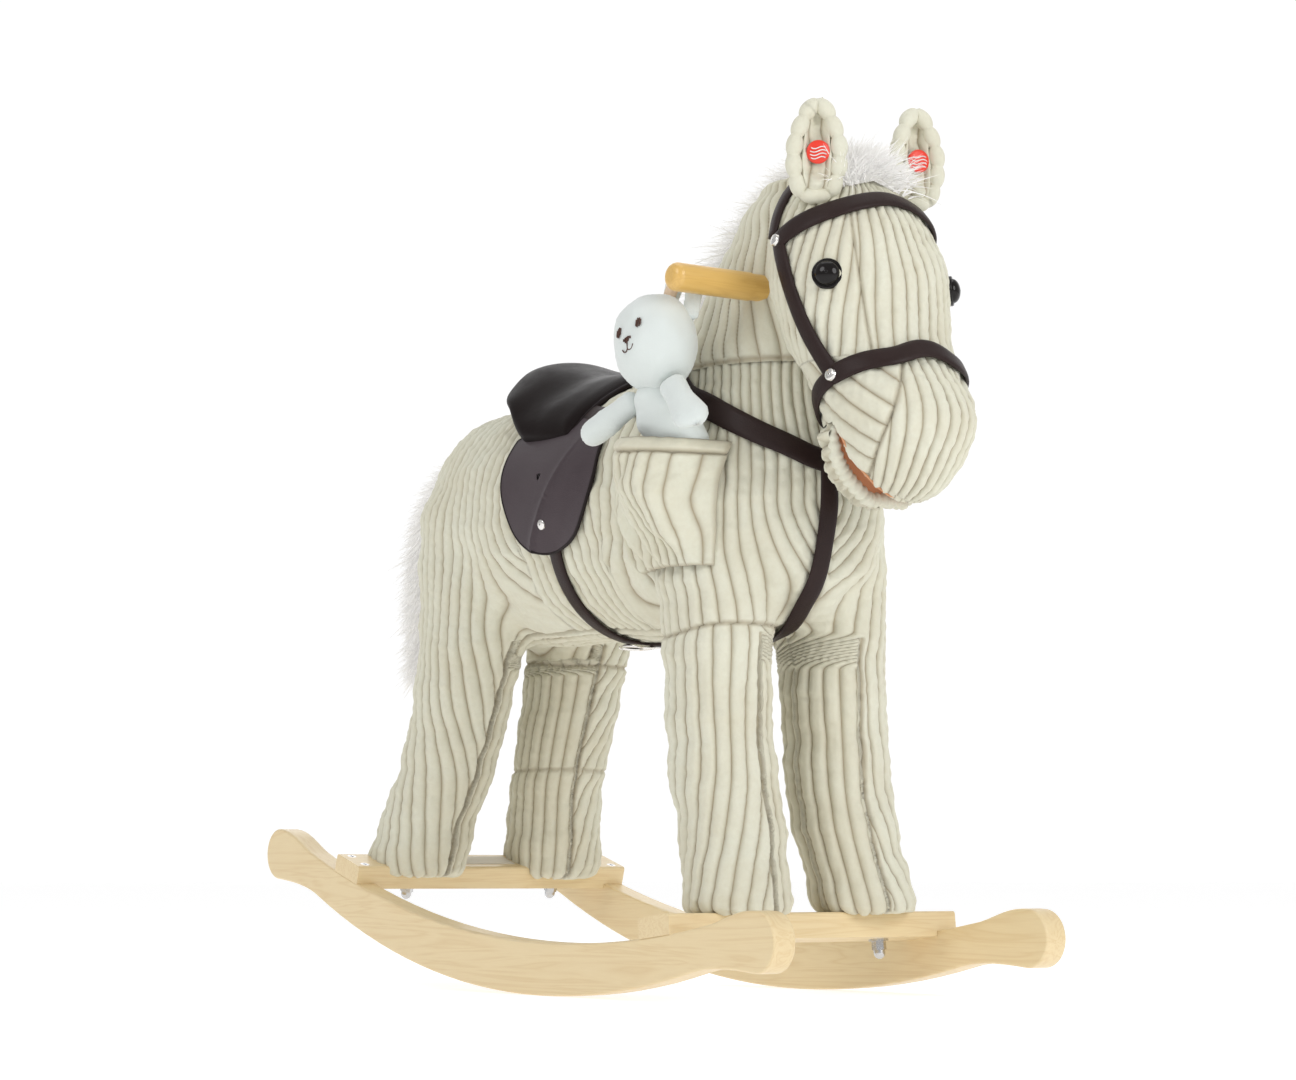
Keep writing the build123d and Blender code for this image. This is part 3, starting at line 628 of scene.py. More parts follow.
phase, seam, tone = body_ribs(skin)
seam = np.maximum(seam, 0.8 * bump(from_hatch(skin) / 3.0))
moved = rib_cloth(skin, skin_normals, phase, seam)
centre = skin[skin_quads].mean(axis=1)
above = (centre[:, 2] > NECK_SEAM + 4) & (centre[:, 0] > 20)
limb = np.where(centre[:, 2] < LEG_SEAM, np.where(centre[:, 0] < 0, 0, 2), 4) + (centre[:, 1] > 0)
limb[from_hatch(centre) < 0] = HATCH
tail_slot = (centre[:, 0] < -300) & (np.abs(centre[:, 1]) < 10) & (np.abs(centre[:, 2] - 455) < 7)
limb[tail_slot] = NOWHERE
limb[(limb >= 4) & (limb <= 5) & (centre[:, 0] > GIRTH_X)] += 3
values = {"wale": phase, "seam": seam, "tone": tone}
names = {
    0: ("rear_right_leg_cloth", ("rear_right_leg",)), 1: ("rear_left_leg_cloth", ("rear_left_leg",)),
    2: ("front_right_leg_cloth", ("front_right_leg",)), 3: ("front_left_leg_cloth", ("front_left_leg",)),
    4: ("body_cloth_right", ("body_cover",)), 5: ("body_cloth_left", ()), HATCH: ("battery_hatch_cloth", ()),
    7: ("chest_cloth_right", ()), 8: ("chest_cloth_left", ()),
}
for key, (name, nodes) in names.items():
    keep = (limb == key) & ~above
    v, f, a = part_of(moved, skin_quads, keep, values)
    obj = new_mesh(name, v, f, CREAM, a)
    if key == HATCH:  # sewn on behind the hinge, free at its front
        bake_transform(obj)
    else:
        settle(obj, nodes=nodes)
body_tree = BVHTree.FromPolygons(skin.tolist(), skin_quads[~above].tolist())


def skin_y(x, z, side, missing):
    """The trunk's y at x and z on that side, or missing where it has none."""
    hit, _, _, _ = body_tree.ray_cast(Vector((x, side * FAR, z)), Vector((0, -side, 0)))
    return hit.y if hit else missing


# ------------------------------------------------------------------ neck and head
# z, centre x, centre y, half length forwards, half width, half length backwards
HEAD = [
    (372.6, 286, 0, 1, 1, 1), (375, 284, 0, 11, 14, 15), (380, 282, 0, 23, 25, 27), (390, 280, 0, 36, 37, 39),
    (404, 279, 0, 48, 48, 50), (420, 279, 0, 58, 55, 55), (436, 277, 0, 62, 58, 57), (452, 271, 0, 62, 60, 55),
    (468, 262, 0, 60, 60, 55), (484, 252, 0, 59, 62, 60), (500, 245, 0, 59, 65, 64), (520, 239, 0, 63, 68, 65),
    (550, 231, 0, 69, 71, 64), (580, 223, 0, 66, 66, 60), (606, 215, 0, 54, 56, 55), (626, 208, 0, 36, 40, 42),
    (638, 205, 0, 18, 22, 24), (643, 204, 0, 3, 3, 3),
]
# the jaw, a piece of its own behind the mouth
JAW = [
    (371.6, 254, 0, 1, 1, 1), (374, 254, 0, 13, 15, 13), (380, 255, 0, 23, 27, 22), (389, 257, 0, 34, 39, 30),
    (402, 260, 0, 45, 51, 37), (416, 262, 0, 50, 56, 40), (428, 262, 0, 50, 55, 40), (434, 262, 0, 40, 46, 32),
]


def head_grid(rows, z_step, around):
    """Grid of points on level egg shapes along z, longer in front than behind."""
    zs = np.arange(rows[0][0], rows[-1][0] + z_step, z_step)
    xc, yc, front, wide, back = table_at(rows, zs).T
    a = circle(around)
    length = np.where(np.cos(a)[None, :] > 0, front[:, None], back[:, None])
    x = xc[:, None] + np.maximum(length, 1) * np.cos(a)
    y = np.maximum(wide, 1)[:, None] * np.sin(a)
    return np.stack([x, y, np.repeat(zs[:, None], around, 1)], axis=-1)


def head_ribs(p):
    """Rib phase, seam strength and tone on the head."""
    x, y, z = p.T
    turn = np.arctan2(np.abs(y), x - 225)
    side = np.sign(y + 1e-6)
    u = 80 * turn * side
    phase = u / WALE + 0.08 * wander(p, 70, 21)
    # darts over the eyes: the middle panel's ribs run straight, the cheek's lean with the strap
    dart = 0.62 + 0.0018 * (z - 540)
    cheek = turn > dart
    lean = (u - side * 0.16 * (560 - z)) / WALE + 0.45
    phase = np.where(cheek & (z > 455), lean + 0.06 * wander(p, 60, 22), phase)
    seam = 0.75 * bump((turn - dart) * 70 / 2.6) * (z > 470) * (z < 600)
    # muzzle: front ribs follow its curve, side ribs come down slantwise to meet them
    muzzle = z < 480
    front = np.arctan2(y, np.maximum(x - 232, 1))
    split = 0.42 + 0.0036 * (440 - z)
    slant = (x * 0.50 + (z - 420) * 0.66) / WALE + 0.3
    side_panel = np.abs(front) > split
    phase = np.where(muzzle, np.where(side_panel, slant, 112 * front / WALE), phase)
    seam = np.maximum(seam, 0.85 * bump((np.abs(front) - split) * 70 / 2.6) * muzzle)
    return phase, seam, np.zeros(len(p))


def piece_from_grid(name, grid, ribs, keep, **kw):
    """Ribbed piece from the kept faces of a closed tube grid."""
    quads = grid_quads(*grid.shape[:2], wrap=True)
    p = grid.reshape(-1, 3)
    quads, n = outward(p, quads)
    phase, seam, tone = ribs(p)
    moved = rib_cloth(p, n, phase, seam, **kw)
    values = {"wale": phase, "seam": seam, "tone": tone}
    moved, quads, values = part_of(moved, quads, keep(p[quads].mean(axis=1)), values)
    return new_mesh(name, moved, quads, CREAM, values)


MOUTH_X, MOUTH_Z, MUZZLE_LEAN = 270.0, 431.0, 15.0  # the muzzle's side of the mouth
JAW_X, JAW_Z, JAW_LEAN = 266.0, 427.0, -6.0  # the jaw's side


def before_lips(c):
    """True on the muzzle's side of the mouth."""
    x, _, z = c.T
    line = MOUTH_X + (MOUTH_Z - z) * math.tan(math.radians(MUZZLE_LEAN))
    return (z > MOUTH_Z) | (x > line)


grid = head_grid(HEAD, 1.3, 300)
head = piece_from_grid("head_cloth", grid, head_ribs, before_lips, puckers=0.6, seed=30)
settle(head, nodes=("head_cover",))
head_tree = tree_of(grid)


def neck_ribs(p):
    """Rib phase, seam strength and tone on the neck."""
    x, y, z = p.T
    cx = table_at(NECK, z)[:, 0]
    turn = np.arctan2(x - cx, np.abs(y))
    u = 62 * turn + cx * 0.9
    phase = u / WALE + 0.1 * wander(p, 70, 41)
    seam = np.maximum(bump(y / 3.0) * (x < cx), 0.9 * bump((z - NECK_SEAM) / 4.0))
    return phase, seam, np.zeros(len(p))


neck_rows = [r for r in NECK if r[0] > 450]
grid = tube_z([(z, x, y, a + 1.2, b + 1.2) for z, x, y, a, b in neck_rows], 1.4, 300)
swell = 2.6 * np.exp(-((grid[:, :, 2] - NECK_SEAM - 12) / 14) ** 2)
grid[:, :, 0] += swell * (grid[:, :, 0] - grid[:, :, 0].mean(axis=1, keepdims=True)) / 80
grid[:, :, 1] += swell * grid[:, :, 1] / 65
neck = piece_from_grid("neck_cloth", grid, neck_ribs, lambda c: c[:, 2] > NECK_SEAM - 3,
                       puckers=0.8, seed=50)
settle(neck, nodes=("neck_cover",))
neck_tree = tree_of(grid)


# ------------------------------------------------------------------ carried-over CAD nodes
def dress(material, *nodes):
    """Gives CAD nodes that are shown as they are their material."""
    for node in nodes:
        obj = frame["nodes"][node]
        obj.data.materials.clear()
        obj.data.materials.append(material)


dress(PINE, "rocker_right", "rocker_left")
dress(PINE_ACROSS, "front_crossbar", "rear_crossbar")
dress(FRAME_WOOD, "leg_posts", "hip_boards", "spine_rail", "neck_post")
dress(HONEY, "handle_bar")
dress(ZINC, "leg_studs", "stud_washers", "dome_nuts", "crossbar_screws")
dress(PAPER, "crossbar_label")
dress(WHITE, "battery_box", "battery_door", "sound_unit", "jaw_drive", "tail_drive", "ear_switch_bases",
      "eye_locks", "jaw_frame", "jaw_crank", "tail_frame", "tail_crank", "right_ear_button",
      "left_ear_button")
dress(GREEN, "battery_cells")
dress(BLACK, "power_switch")
dress(EYE_BLACK, "eye_beads")
dress(SILVER, "rivets", "girth_buckle")
dress(RED, "ear_stickers")


# ------------------------------------------------------------------ strips laid on the cloth
def nearest(tree, p):
    """Closest point of the surface to p, and its outward normal."""
    place, normal, _, _ = tree.find_nearest(Vector(p))
    return np.array(place), np.array(normal)


def smooth_rows(a, times):
    """Averages each row of points with its neighbours; the ends stay."""
    for _ in range(times):
        a = np.concatenate([a[:1], (a[:-2] + 2 * a[1:-1] + a[2:]) / 4, a[-1:]])
    return a


def nearest_of(trees, p):
    """The outermost of several surfaces at p."""
    best = None
    for tree in trees:
        place, normal = nearest(tree, p)
        gap = float(np.dot(p - place, normal))
        if best is None or gap < best[0]:
            best = (gap, place, normal)
    return best[1], best[2]


def strip(name, points, width, trees, lift=1.9, thick=2.2, across=7):
    """A strap of that width lying on the given surfaces along a line of rough points, and its length."""
    line = curve_through(points, 4.0)
    spots = np.array([np.concatenate(nearest_of(trees, p)) for p in line])
    place, normal = spots[:, :3], spots[:, 3:]
    place, normal = smooth_rows(place, 3), unit(smooth_rows(normal, 6))
    side = unit(np.cross(normal, np.gradient(place, axis=0)))
    rows = []
    for k in range(across):
        f = 2 * k / (across - 1) - 1
        edge = place + side * (f * width / 2)
        spots = np.array([np.concatenate(nearest_of(trees, p)) for p in edge])
        rows.append((smooth_rows(spots[:, :3], 4), f))
    top = [q + normal * (lift + thick * (1 - 0.35 * abs(f) ** 4)) for q, f in rows]
    low = [q + normal * lift * 0.5 for q, _ in rows][::-1]
    wide = [rows[-1][0] + normal * (lift + thick * 0.3) + side * 0.7]
    near = [rows[0][0] + normal * (lift + thick * 0.3) - side * 0.7]
    loop = np.stack(top + wide + low + near, axis=1)
    n, m = loop.shape[:2]
    faces = [tuple(f) for f in grid_quads(n, m, wrap=True)]
    faces += [tuple(range(m))[::-1], tuple(range((n - 1) * m, n * m))]
    obj = new_mesh(name, loop.reshape(-1, 3), faces, BROWN)
    settle(obj)
    length = float(np.linalg.norm(np.diff(place, axis=0), axis=1).sum()) * MM
    return obj, length


def strap(name, points, width, trees, nodes=(), rests=(), **kw):
    """A strip laid on cloth, in place of the given CAD nodes."""
    obj, length = strip(name, points, width, trees, **kw)
    if nodes:
        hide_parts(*nodes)


def tube_along(name, points, radius, material, step=3.0, sides=10, body="horse", taper=None):
    """Round cord or piping along a line."""
    line = curve_through(points, step)
    ahead = unit(np.gradient(line, axis=0))
    up = unit(np.cross(ahead, (0.31, 0.62, 0.72)))
    other = np.cross(ahead, up)
    a = circle(sides)
    r = np.full(len(line), radius) if taper is None else radius * taper(np.linspace(0, 1, len(line)))
    points, faces = capped(line[:, None] + r[:, None, None] * (
        np.cos(a)[None, :, None] * up[:, None] + np.sin(a)[None, :, None] * other[:, None]
    ))
    obj = new_mesh(name, points, faces, material)
    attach(obj, body)
    return obj


def paint(obj, crest, tone=0.0):
    """Gives a piece without ribs the cloth's own values."""
    for key, value in (("wale", crest), ("seam", 0.0), ("tone", tone)):
        layer = obj.data.attributes.get(key) or obj.data.attributes.new(key, "FLOAT", "POINT")
        layer.data.foreach_set("value", np.full(len(obj.data.vertices), value, np.float32))


def both_sides(line):
    """A line that ends in the middle, carried on down the other side."""
    return line + [(x, -y, z) for x, y, z in line[-2::-1]]


EYE_POINT = Vector((2051.0, -1475.8, 92.1))  # the camera, in mm


def in_sight(tree, points):
    """Where the lines from the camera through rough points meet the surface."""
    found = []
    for p in points:
        hit, _, _, _ = tree.ray_cast(EYE_POINT, (Vector(p) - EYE_POINT).normalized())
        found.append(tuple(hit) if hit else p)
    return found


breast = [(-64, -64, 482), (-36, -80, 480), (0, -92, 475), (50, -90, 480), (100, -84, 473),
          (126, -76, 463), (150, -66, 448), (174, -47, 430), (190, -20, 414), (194, 0, 411)]
strap("breast_strap_leather", both_sides(breast), 18, [body_tree, neck_tree], ("breast_strap",),
      ("body_cloth_right",))
strap("martingale_leather", [(194, -6, 409), (200, -9, 375), (194, -12, 340), (172, -12, 310), (140, -8, 290),
                             (90, 0, 284), (30, 0, 283), (-40, 0, 286)], 14, [body_tree],
      ("martingale_strap",), ("body_cloth_right",), lift=2.2)
half = [(-34, -104, 420), (-38, -110, 385), (-44, -104, 350), (-50, -80, 316), (-55, -42, 296), (-56, 0, 289)]
strap("girth_leather", both_sides(half), 15, [body_tree], ("girth_strap",),
      ("body_cloth_right",), lift=1.6)
buckle_ring = [(-61, -22, 283.6), (-50, -24, 284.2), (-39, -22, 283.6), (-38, -10, 283),
               (-39, 2, 283.6), (-50, 4, 284), (-61, 2, 283.6), (-62, -10, 283), (-61, -22, 283.6)]
buckle = tube_along("girth_buckle_frame", buckle_ring, 1.5, SILVER)
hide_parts("girth_buckle")

# bridle
brow = in_sight(head_tree, [(212, -62, 577), (231, -56, 588), (240, -34, 599), (273, -34, 599)])
brow.append((268, 0, 606))
strap("browband_leather", both_sides(brow), 16, [head_tree], ("browband",), ("head_cloth",),
      lift=2.0)
crown = [(206, -66, 582), (206, -58, 604), (206, -44, 626), (206, -22, 640), (206, 0, 644)]
strap("crown_leather", both_sides(crown), 14, [head_tree], (), ("head_cloth",), lift=1.5)
cheek_spots = [(212, -62, 577), (220, -62, 552), (234, -62, 522), (254, -62, 492), (278, -62, 464)]
for side, word in SIDES:
    cheek = [(x, -side * y, z) for x, y, z in in_sight(head_tree, cheek_spots)]
    strap(f"cheek_{word}_leather", cheek, 13, [head_tree], ("headstall",) if side < 0 else (), ("head_cloth",),
          lift=1.5)
nose_spots = [(278, -62, 464), (284, -53, 470), (288, -34, 477), (316, -34, 475)]
nose = in_sight(head_tree, nose_spots) + [(301, 0, 481)]
strap("noseband_leather", both_sides(nose), 15, [head_tree], ("noseband",), ("head_cloth",),
      lift=2.2)
chin = in_sight(head_tree, [(278, -62, 464)]) + [(248, -58, 452), (236, -50, 443), (224, -36, 439),
                                                 (217, -18, 437), (215, 0, 436)]
strap("chin_leather", both_sides(chin), 13, [head_tree], (), ("head_cloth",), lift=1.8)


def dome(name, place, normal, radius, height):
    """Low round silver stud head standing on a surface."""
    normal = unit(normal)
    u = unit(np.cross(normal, (0.3, 0.2, 0.9)))
    around = ring(u, np.cross(normal, u), 28)
    rows = [(1.0, -1.5), (1.0, 0.25)]
    rows += [(math.cos(t), 0.25 + 0.75 * math.sin(t)) for t in np.linspace(0.25, 1.45, 6)]
    points, faces = capped(np.stack([place + normal * h * height + radius * r * around for r, h in rows]))
    obj = new_mesh(name, points, faces, SILVER)
    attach(obj, "horse")
    return obj


for side, word in SIDES:
    (bx, by, bz), (nx, ny, nz) = brow[0], nose[0]
    for spot, label, lift in (((bx, -side * by, bz), "brow", 5.2), ((nx, -side * ny, nz), "nose", 5.4)):
        p, n = nearest(head_tree, spot)
        stud = dome(f"{label}_rivet_{word}", p + n * lift, n, 4.6, 1.5)
        if side < 0 and label == "brow":
            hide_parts("rivets")

# ------------------------------------------------------------------ eyes
for side, word in SIDES:
    p, _ = nearest(head_tree, (266, side * 57, 543))
    n = unit((0.70, side * 0.70, 0.05))
    u = unit(np.cross(n, (0, 0, 1.0)))
    around = ring(u, np.cross(u, n), 40)
    rows = [(11.6, -3.0), (11.8, 1.2), (11.2, 2.2), (10.2, 2.0), (9.6, 1.6)]
    rows += [(9.6 * math.cos(t), 1.8 + 6.2 * math.sin(t)) for t in np.linspace(0.05, 1.52, 14)]
    points, faces = capped(np.stack([p + n * h + r * around for r, h in rows]))
    eye = new_mesh(f"eye_{word}", points, faces, EYE_BLACK)
    settle(eye, nodes=("eye_beads",) if side < 0 else ())


# ------------------------------------------------------------------ jaw and mouth
def behind_lips(x, z):
    """How far a point is in front of the jaw's lip."""
    return x - (JAW_X + (JAW_Z - z) * math.tan(math.radians(JAW_LEAN)))


grid = head_grid(JAW, 1.2, 300)
p = grid.reshape(-1, 3)
quads, n = outward(p, grid_quads(*grid.shape[:2], wrap=True))
lip = behind_lips(p[:, 0], p[:, 2])
gather = bump((lip + 7.0) / 11.0)
around_lip = np.arctan2(p[:, 1], 412 - p[:, 2])
phase = around_lip * 54 / WALE + 0.15 * wander(p, 40, 61)
moved = rib_cloth(p, n, phase, 0 * lip, puckers=0.8, seed=60)
moved += n * (gather * (1.6 + 2.6 * np.sin(around_lip * 31 + 1.5 * np.sin(lip / 5))))[:, None]
moved[:, 0] -= 1.6 * gather * np.sin(around_lip * 47 + 1)
keep = behind_lips(*p[quads].mean(axis=1)[:, [0, 2]].T) < 0
# painted shade: the seam and tone values darken the gathered lip in its folds
v, f, a = part_of(moved, quads, keep, {"wale": phase, "seam": 0.35 * gather, "tone": 0.3 * gather})
jaw = new_mesh("jaw_cloth", v, f, CREAM, a)
settle(jaw, "jaw", ("jaw_cover",))


def lip_plate(name, rows, x0, z0, lean, hollow, body, inset=1.5, bottom=1.5):
    """Cloth across one side of the mouth: an outline cut by a slanted plane."""
    slope = math.tan(math.radians(lean))
    zs = np.linspace(z0, rows[0][0] + bottom, 40)
    xc, _, front, wide, back = table_at(rows, zs).T
    xs = x0 + (z0 - zs) * slope
    length = np.where(xs > xc, front, back)
    inside = np.clip(1 - ((xs - xc) / np.maximum(length, 1)) ** 2, 0.0, 1)
    half = np.maximum(np.maximum(wide, 1) * np.sqrt(inside) - inset, 0.6)
    t = np.linspace(-1, 1, 41)
    grid = np.stack([
        xs[:, None] - hollow * (1 - t[None, :] ** 2) * np.sin(np.linspace(0, 1, 40) * math.pi)[:, None],
        half[:, None] * t[None, :],
        np.repeat(zs[:, None], 41, 1),
    ], axis=-1)
    obj = new_mesh(name, grid.reshape(-1, 3), grid_quads(40, 41), LINING)
    thicken(obj, 0.0012)
    settle(obj, body)
    rim = np.concatenate([grid[:, 0], grid[-1, ::4][1:-1], grid[::-1, -1]])
    return obj, rim


upper, _ = lip_plate("mouth_roof", HEAD, MOUTH_X + 0.6, MOUTH_Z, MUZZLE_LEAN, -2.5, "horse")
_, rim = lip_plate("mouth_floor", JAW, JAW_X - 0.6, JAW_Z, JAW_LEAN, 3.0, "jaw", 4.5, 5.0)
lip_roll = tube_along("gathered_lip", rim, 5.4, CREAM, step=1.1, sides=26, body="jaw",
                      taper=lambda t: (1 + 0.13 * np.sin(t * 2 * math.pi * 27 + 1.2 * np.sin(t * 31)))
                      * (0.6 + 0.4 * ease(np.minimum(t, 1 - t) * 7)))
paint(lip_roll, 0.5)
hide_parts("mouth_lining")

# ------------------------------------------------------------------ ears
# z, half thickness, half width
EAR = [(606, 6, 7), (611, 9, 12), (620, 12, 18), (632, 13, 21.5), (644, 13, 22), (657, 11, 19), (668, 9, 13.5),
       (676, 7, 8.5), (681, 5, 5), (684, 2, 2)]
EAR_TURN = {-1: -32.0, 1: -12.0}  # degrees from straight ahead
EAR_RISE = {-1: -1.0, 1: 5.0}
EAR_AROUND = 170  # points round an ear


def make_ear(side, word):
    """One ear: ribbed back, cupped front, braided rim, and the round sticker over its button."""
    zs = np.arange(EAR[0][0], EAR[-1][0] + 0.9, 0.9)
    thick, wide = table_at(EAR, zs).T
    around = circle(EAR_AROUND)
    fore = thick[:, None] * np.cos(around)
    off = wide[:, None] * np.sin(around)
    up = np.repeat(zs[:, None], EAR_AROUND, 1)
    p = np.stack([fore, off, up], -1).reshape(-1, 3)
    quads, n = outward(p, grid_quads(len(zs), EAR_AROUND, wrap=True))
    fore, off, up = p.T
    reach = np.abs(off) / np.repeat(np.maximum(wide, 1), EAR_AROUND)
    facing = fore > 0
    rim = facing & (reach > 0.56)
    roll = np.exp(-(((reach - 0.80) / 0.2) ** 2)) * facing * ease((up - 606) / 8)
    knots = np.sin((up - 600) * 0.44 + 1.3 * np.sign(off) + 0.5 * np.sin(up / 7))
    cup = bump(reach / 0.62) * facing * ease((up - 618) / 10) * ease((682 - up) / 12)
    phase = np.where(rim, (np.abs(off) * 0.5 + (up - 600) * 0.9) / (WALE * 0.9), off / (WALE * 0.9) + 0.5)
    phase = phase + 0.08 * wander(p, 30, 71)
    seam = 0.85 * bump((reach - 0.56) / 0.08) * facing * (up > 616)
    moved = rib_cloth(p, n, phase, seam, puckers=1.0, depth=2.4, seed=72)
    moved += n * (roll * (1.6 + 1.6 * knots))[:, None]
    moved[:, 0] -= 9.0 * cup
    knot = np.exp(-((off / 9) ** 2) - ((up - 615) / 7) ** 2) * facing
    moved[:, 0] += 5.0 * knot
    turn = math.radians(EAR_TURN[side])

    def place(q):
        return np.stack([
            237 + q[:, 0] * math.cos(turn) - q[:, 1] * math.sin(turn) + 0.05 * (q[:, 2] - 600),
            side * 48 + q[:, 0] * math.sin(turn) + q[:, 1] * math.cos(turn),
            q[:, 2] + EAR_RISE[side],
        ], -1)

    ear = new_mesh(f"{word}_ear_cloth", place(moved), quads, CREAM,
                   {"wale": phase, "seam": seam, "tone": 0.2 * rim})
    settle(ear, nodes=(f"{word}_ear",))
    heights = (612, 622, 634, 646, 658, 668, 676)
    up_side = [(0.62 * a, -0.80 * b, z) for z, (a, b) in zip(heights, table_at(EAR, heights))]
    outline = up_side + [(4.0, 0.0, 681.0)] + [(x, -y, z) for x, y, z in up_side[::-1]]
    outline = [(9.0, 6.0, 610.0)] + outline + [(9.0, -6.0, 610.0)]
    braid = tube_along(f"{word}_ear_braid", place(np.array(outline)), 6.1, CREAM, step=0.9, sides=26,
                       taper=lambda t: 0.66 + 0.42 * np.abs(np.sin(t * math.pi * 12)) ** 0.6)
    paint(braid, 0.5)
    a = circle(40)
    badge_rows = ((8.9, -1.5), (9.0, 0.7), (8.5, 1.1), (4.0, 1.4), (0.3, 1.5))
    disc = np.concatenate([
        np.stack([np.full(40, 8.5 + h), r * np.cos(a) + 1.0, 643 + r * np.sin(a)], -1) for r, h in badge_rows
    ])
    points, faces = capped(place(disc).reshape(len(badge_rows), 40, 3))
    badge = new_mesh(f"ear_badge_{word}", points, faces, RED)
    settle(badge, nodes=("ear_stickers",) if side < 0 else ())
    for k in range(4):
        o = (k - 1.5) * 2.6
        w = math.sqrt(64 - o * o)
        stripe = [(10.2, 1.0 + q * w * 0.8, 642 + o + math.sin(3 * q)) for q in np.linspace(-1, 1, 9)]
        line = tube_along(f"ear_badge_{word}_line_{k}", place(np.array(stripe)), 0.45, WHITE,
                          step=1.5, sides=6)


for side, word in SIDES:
    make_ear(side, word)


# ------------------------------------------------------------------ saddle
def trunk_point(x, angle, lift):
    """Point at that angle from the top of the trunk, lifted off its surface."""
    x, angle, lift = np.broadcast_arrays(x, angle, lift)
    zc, h, w = [column.reshape(x.shape) for column in table_at(TORSO, x.ravel()).T]
    return np.stack([x, (w + lift) * np.sin(angle), zc + (h + lift) * np.cos(angle)], axis=-1)


def seat_grid(n=70, m=90):
    """Top of the seat: padded, raised at the back, with folds at the rear corners."""
    s = np.linspace(0, 1, n)[:, None]
    t = np.linspace(-1, 1, m)[None, :]
    rear, front = -184.0, -18.0
    edge = 46 * np.abs(t) ** 2.6
    x = rear + edge + (front - 14 * np.abs(t) ** 2 - rear - edge) * s
    wide = np.radians(60 - 14 * ease(1 - s * 2.4))
    angle = wide * t
    back_rise = ease((-76 - x) / 90)
    lift = 9 + 22 * back_rise * (1 - 0.35 * t**2) + 5 * np.sin(np.clip(s, 0, 1) * math.pi)
    rim = np.minimum(np.minimum(s, 1 - s) * 9, (1 - np.abs(t)) * 7)
    round_off = np.sqrt(np.clip(1 - (1 - np.clip(rim, 0, 1)) ** 2, 0, 1))
    lift = 1.5 + (lift - 1.5) * (0.25 + 0.75 * round_off)
    p = trunk_point(x, angle + 0 * x, lift)
    flat = p.reshape(-1, 3)
    fold = 3.2 * np.sin((flat[:, 0] * 0.9 + flat[:, 2] * 1.6) / 15.0)
    where = ease((np.abs(t) + 0 * s - 0.55) * 3) * ease(1 - s * 1.5)
    p += (fold.reshape(n, m) * where)[..., None] * np.array([0, 1, 0.3]) * np.sign(t + 1e-6)[..., None]
    p[..., 2] += 0.9 * wander(flat, 60, 81).reshape(n, m)
    return p


top = seat_grid()
n, m = top.shape[:2]
zc, h, w = table_at(TORSO, top[..., 0].ravel()).T
angle = np.arctan2(top[..., 1].ravel() / w, (top[..., 2].ravel() - zc) / h)
low = trunk_point(top[..., 0].ravel(), angle, 0.6).reshape(n, m, 3)
faces = [tuple(f) for f in grid_quads(n, m)]
faces += [tuple(f + n * m)[::-1] for f in grid_quads(n, m)]
border = [(0, j) for j in range(m)] + [(i, m - 1) for i in range(1, n)]
border += [(n - 1, j) for j in range(m - 2, -1, -1)] + [(i, 0) for i in range(n - 2, 0, -1)]
ids = [i * m + j for i, j in border]
faces += [(ids[k - 1], ids[k], ids[k] + n * m, ids[k - 1] + n * m) for k in range(len(ids))]
seat = new_mesh("saddle_seat_leather", np.concatenate([top.reshape(-1, 3), low.reshape(-1, 3)]), faces,
                SHADED_SEAT_BROWN)
settle(seat, nodes=("saddle_seat",))
rim_line = np.array([(top[i, j] * 0.6 + low[i, j] * 0.4) for i, j in border[::2]])
rim_line = np.concatenate([rim_line, rim_line[:1]])
piping = tube_along("saddle_piping", rim_line, 2.3, PIPING, step=3.5)

# x, z of the saddle flap's outline
FLAP = [(-112, 458), (-112, 438), (-108, 412), (-99, 392), (-86, 374), (-70, 362), (-52, 357),
        (-28, 360), (-5, 370), (10, 388), (19, 410), (22, 434), (18, 458), (-10, 466), (-50, 468),
        (-90, 466), (-112, 458)]


def flap_cloth(side, word):
    """One saddle flap hanging on the trunk, with a crease, a binding and a rivet."""
    rim = curve_through([(x, 0, z) for x, z in FLAP], 3.0)[:-1, [0, 2]]
    centre = np.array([-52.0, 420.0])
    rings = np.linspace(0.03, 1, 34)[:, None, None]
    flat = centre + (rim[None] - centre) * rings
    p = np.zeros(flat.shape[:2] + (3,))
    for i in range(flat.shape[0]):
        for j in range(flat.shape[1]):
            x, z = flat[i, j]
            p[i, j] = (x, skin_y(x, z, side, side * 90), z)
    a, b = np.array([-4.0, 452.0]), np.array([-64.0, 357.0])
    d = unit(b - a)
    away = (flat[..., 0] - a[0]) * -d[1] + (flat[..., 1] - a[1]) * d[0]
    drop = np.clip((462 - flat[..., 1]) / 100, 0, 1)
    lift = 4.5 + 9 * drop * (1 - 0.5 * drop)
    lift += np.where(away > 0, -0.24 * away * drop, 2.2 * np.exp(-((away / 5) ** 2)) * drop)
    lift = np.maximum(lift, 3.2) + 1.2 * wander(p.reshape(-1, 3), 70, 82).reshape(lift.shape)
    p[..., 1] += side * lift
    n, m = p.shape[:2]
    faces = [tuple(f) for f in grid_quads(n, m, wrap=True)] + [tuple(range(m))]
    obj = new_mesh(f"{word}_flap_leather", p.reshape(-1, 3), faces, HIGHLIT_FLAP_BROWN)
    thicken(obj, 0.0022, 0)
    settle(obj)
    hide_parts(f"{word}_saddle_flap")
    edge = tube_along(f"{word}_flap_binding", np.concatenate([p[-1], p[-1][:1]]), 1.5, PIPING)
    spots = p.reshape(-1, 3)
    near = spots[np.argmin(np.linalg.norm(spots[:, [0, 2]] - (-44, 380), axis=1))]
    dome(f"flap_rivet_{word}", near + (0, side * 1.2, 0), (0.1, side, -0.2), 4.4, 1.6)


for side, word in SIDES:
    flap_cloth(side, word)


# ------------------------------------------------------------------ pocket
HEM = 0.885  # where the pocket's hem starts, as a share of its height


